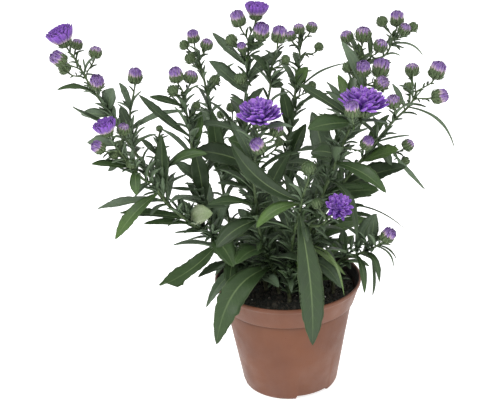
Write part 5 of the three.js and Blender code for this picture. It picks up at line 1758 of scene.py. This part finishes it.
class ASTER_OT_flower_heads(bpy.types.Operator):
    """Open the flower heads: layers of strap petals around a core"""

    bl_idname = "aster.flower_heads"
    bl_label = "Flower heads"

    def execute(self, context):
        s = context.scene.aster_flower
        shades = [(0.0, s.bud_foot), (0.25, s.bud_middle), (0.5, s.brush), (1.0, s.brush_tip)]
        looks = {
            "open": [petal_finish(s)], "brush": [bud_finish("brush petal", shades, s.bud_middle, s.brush_tip)]
        }
        flowers("bloom", "flower_head", {"open": OPEN_LAYERS, "brush": BRUSH_LAYERS}, looks)
        return {"FINISHED"}


class ASTER_OT_buds(bpy.types.Operator):
    """Close the coloured buds: upright petals that lean together over a core"""

    bl_idname = "aster.buds"
    bl_label = "Buds"

    def execute(self, context):
        s = context.scene.aster_flower
        young = [(0.4, s.bud_foot), (0.66, s.bud_middle), (0.95, s.bud_violet)]
        grown = [(0.32, s.bud_foot), (0.55, s.bud_middle), (0.78, s.bud_violet), (1.0, s.bud_tip)]
        looks = {
            "tipped": [bud_finish("closed bud petal", young, s.bud_middle, s.bud_violet)],
            "barrel": [bud_finish("bud petal", grown, s.bud_middle, s.bud_tip)],
        }
        flowers("bud", "coloured_bud", {"barrel": BARREL_LAYERS, "tipped": TIPPED_LAYERS}, looks)
        return {"FINISHED"}


# The point that the camera and the lights look at, in metres, the camera's lens and sensor, and how far the
# floor reaches and lies below the pot, in millimetres
VIEW_TARGET = Vector((-0.0286, 0.0004, 0.1631))
LENS, SENSOR = 90, 36
FLOOR_REACH, FLOOR_DROP = 6000, 0.05


class ASTER_OT_stage(bpy.types.Operator):
    """Set the floor, the light and the camera"""

    bl_idname = "aster.stage"
    bl_label = "Stage"

    def execute(self, context):
        s = context.scene.aster_stage
        surface = Surface()
        span = np.linspace(-FLOOR_REACH, FLOOR_REACH, 9)
        x, y = np.meshgrid(span, span)
        grid = np.stack([x, y, 0 * x - FLOOR_DROP], -1)
        surface.add(grid[None], closed=False)
        finish = Finish(
            "floor", Specular_IOR_Level=0.1, Emission_Color=(1, 1, 1, 1), Emission_Strength=s.glow
        )
        shade = finish.noise(3, 2).within(0.3, 0.7)
        pale = finish.blend(shade, s.floor, [0.97 * value for value in s.floor])
        satin = finish.noise(4, 2).within(0, 1, 0.8, 0.95)
        floor = surface.piece("floor", [finish.show(pale, satin)])

        camera = bpy.data.objects.new("camera", bpy.data.cameras.new("camera"))
        camera.data.lens, camera.data.sensor_width = LENS, SENSOR
        away = Vector((0.0, -np.cos(s.elevation), np.sin(s.elevation)))
        camera.location = VIEW_TARGET + away * s.distance
        level = (-away).to_track_quat("-Z", "Y")
        camera.rotation_euler = (Quaternion(away, -s.lean) @ level).to_euler()
        context.scene.collection.objects.link(camera)
        context.scene.camera = camera

        world = bpy.data.worlds.new("studio")
        world.use_nodes = True
        world.node_tree.nodes["Background"].inputs["Color"].default_value = (1, 1, 1, 1)
        world.node_tree.nodes["Background"].inputs["Strength"].default_value = s.sky
        context.scene.world = world
        context.scene.view_settings.view_transform = "Standard"
        for name, power, place, size in (
            ("key light", s.key, (-0.7, -1.0, 1.6), 1.2), ("fill light", s.fill, (1.3, -0.7, 0.9), 1.4),
        ):
            light = bpy.data.objects.new(name, bpy.data.lights.new(name, "AREA"))
            light.data.energy, light.data.size = power, size
            light.location = place
            light.rotation_euler = (VIEW_TARGET - light.location).to_track_quat("-Z", "Y").to_euler()
            context.scene.collection.objects.link(light)
        return {"FINISHED"}


class ASTER_PT_panel(bpy.types.Panel):
    """Lists the pieces and the settings they are made with"""

    bl_label = "Potted Aster"
    bl_idname = "ASTER_PT_panel"
    bl_space_type = "VIEW_3D"
    bl_region_type = "UI"
    bl_category = "Aster"

    def draw(self, context):
        for operator in OPERATORS:
            self.layout.operator(operator.bl_idname)
        for group in SETTINGS:
            box = self.layout.box()
            for key in SETTINGS[group].__annotations__:
                box.prop(getattr(context.scene, group), key)


OPERATORS = (
    ASTER_OT_stage, ASTER_OT_pot, ASTER_OT_soil, ASTER_OT_leafy_stems, ASTER_OT_flower_heads, ASTER_OT_buds,
)
SETTINGS = {
    "aster_pot": PotSettings, "aster_plant": PlantSettings, "aster_flower": FlowerSettings,
    "aster_stage": StageSettings,
}
CLASSES = (*SETTINGS.values(), *OPERATORS, ASTER_PT_panel)


def register():
    for each in CLASSES:
        bpy.utils.register_class(each)
    for name, group in SETTINGS.items():
        setattr(bpy.types.Scene, name, PointerProperty(type=group))


def unregister():
    for name in SETTINGS:
        delattr(bpy.types.Scene, name)
    for each in reversed(CLASSES):
        bpy.utils.unregister_class(each)


def main():
    """Builds the stage and every piece."""
    register()
    bpy.ops.aster.stage()
    bpy.ops.aster.pot()
    bpy.ops.aster.soil()
    bpy.ops.aster.leafy_stems()
    bpy.ops.aster.flower_heads()
    bpy.ops.aster.buds()
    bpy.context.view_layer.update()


if __name__ == "__main__":
    main()
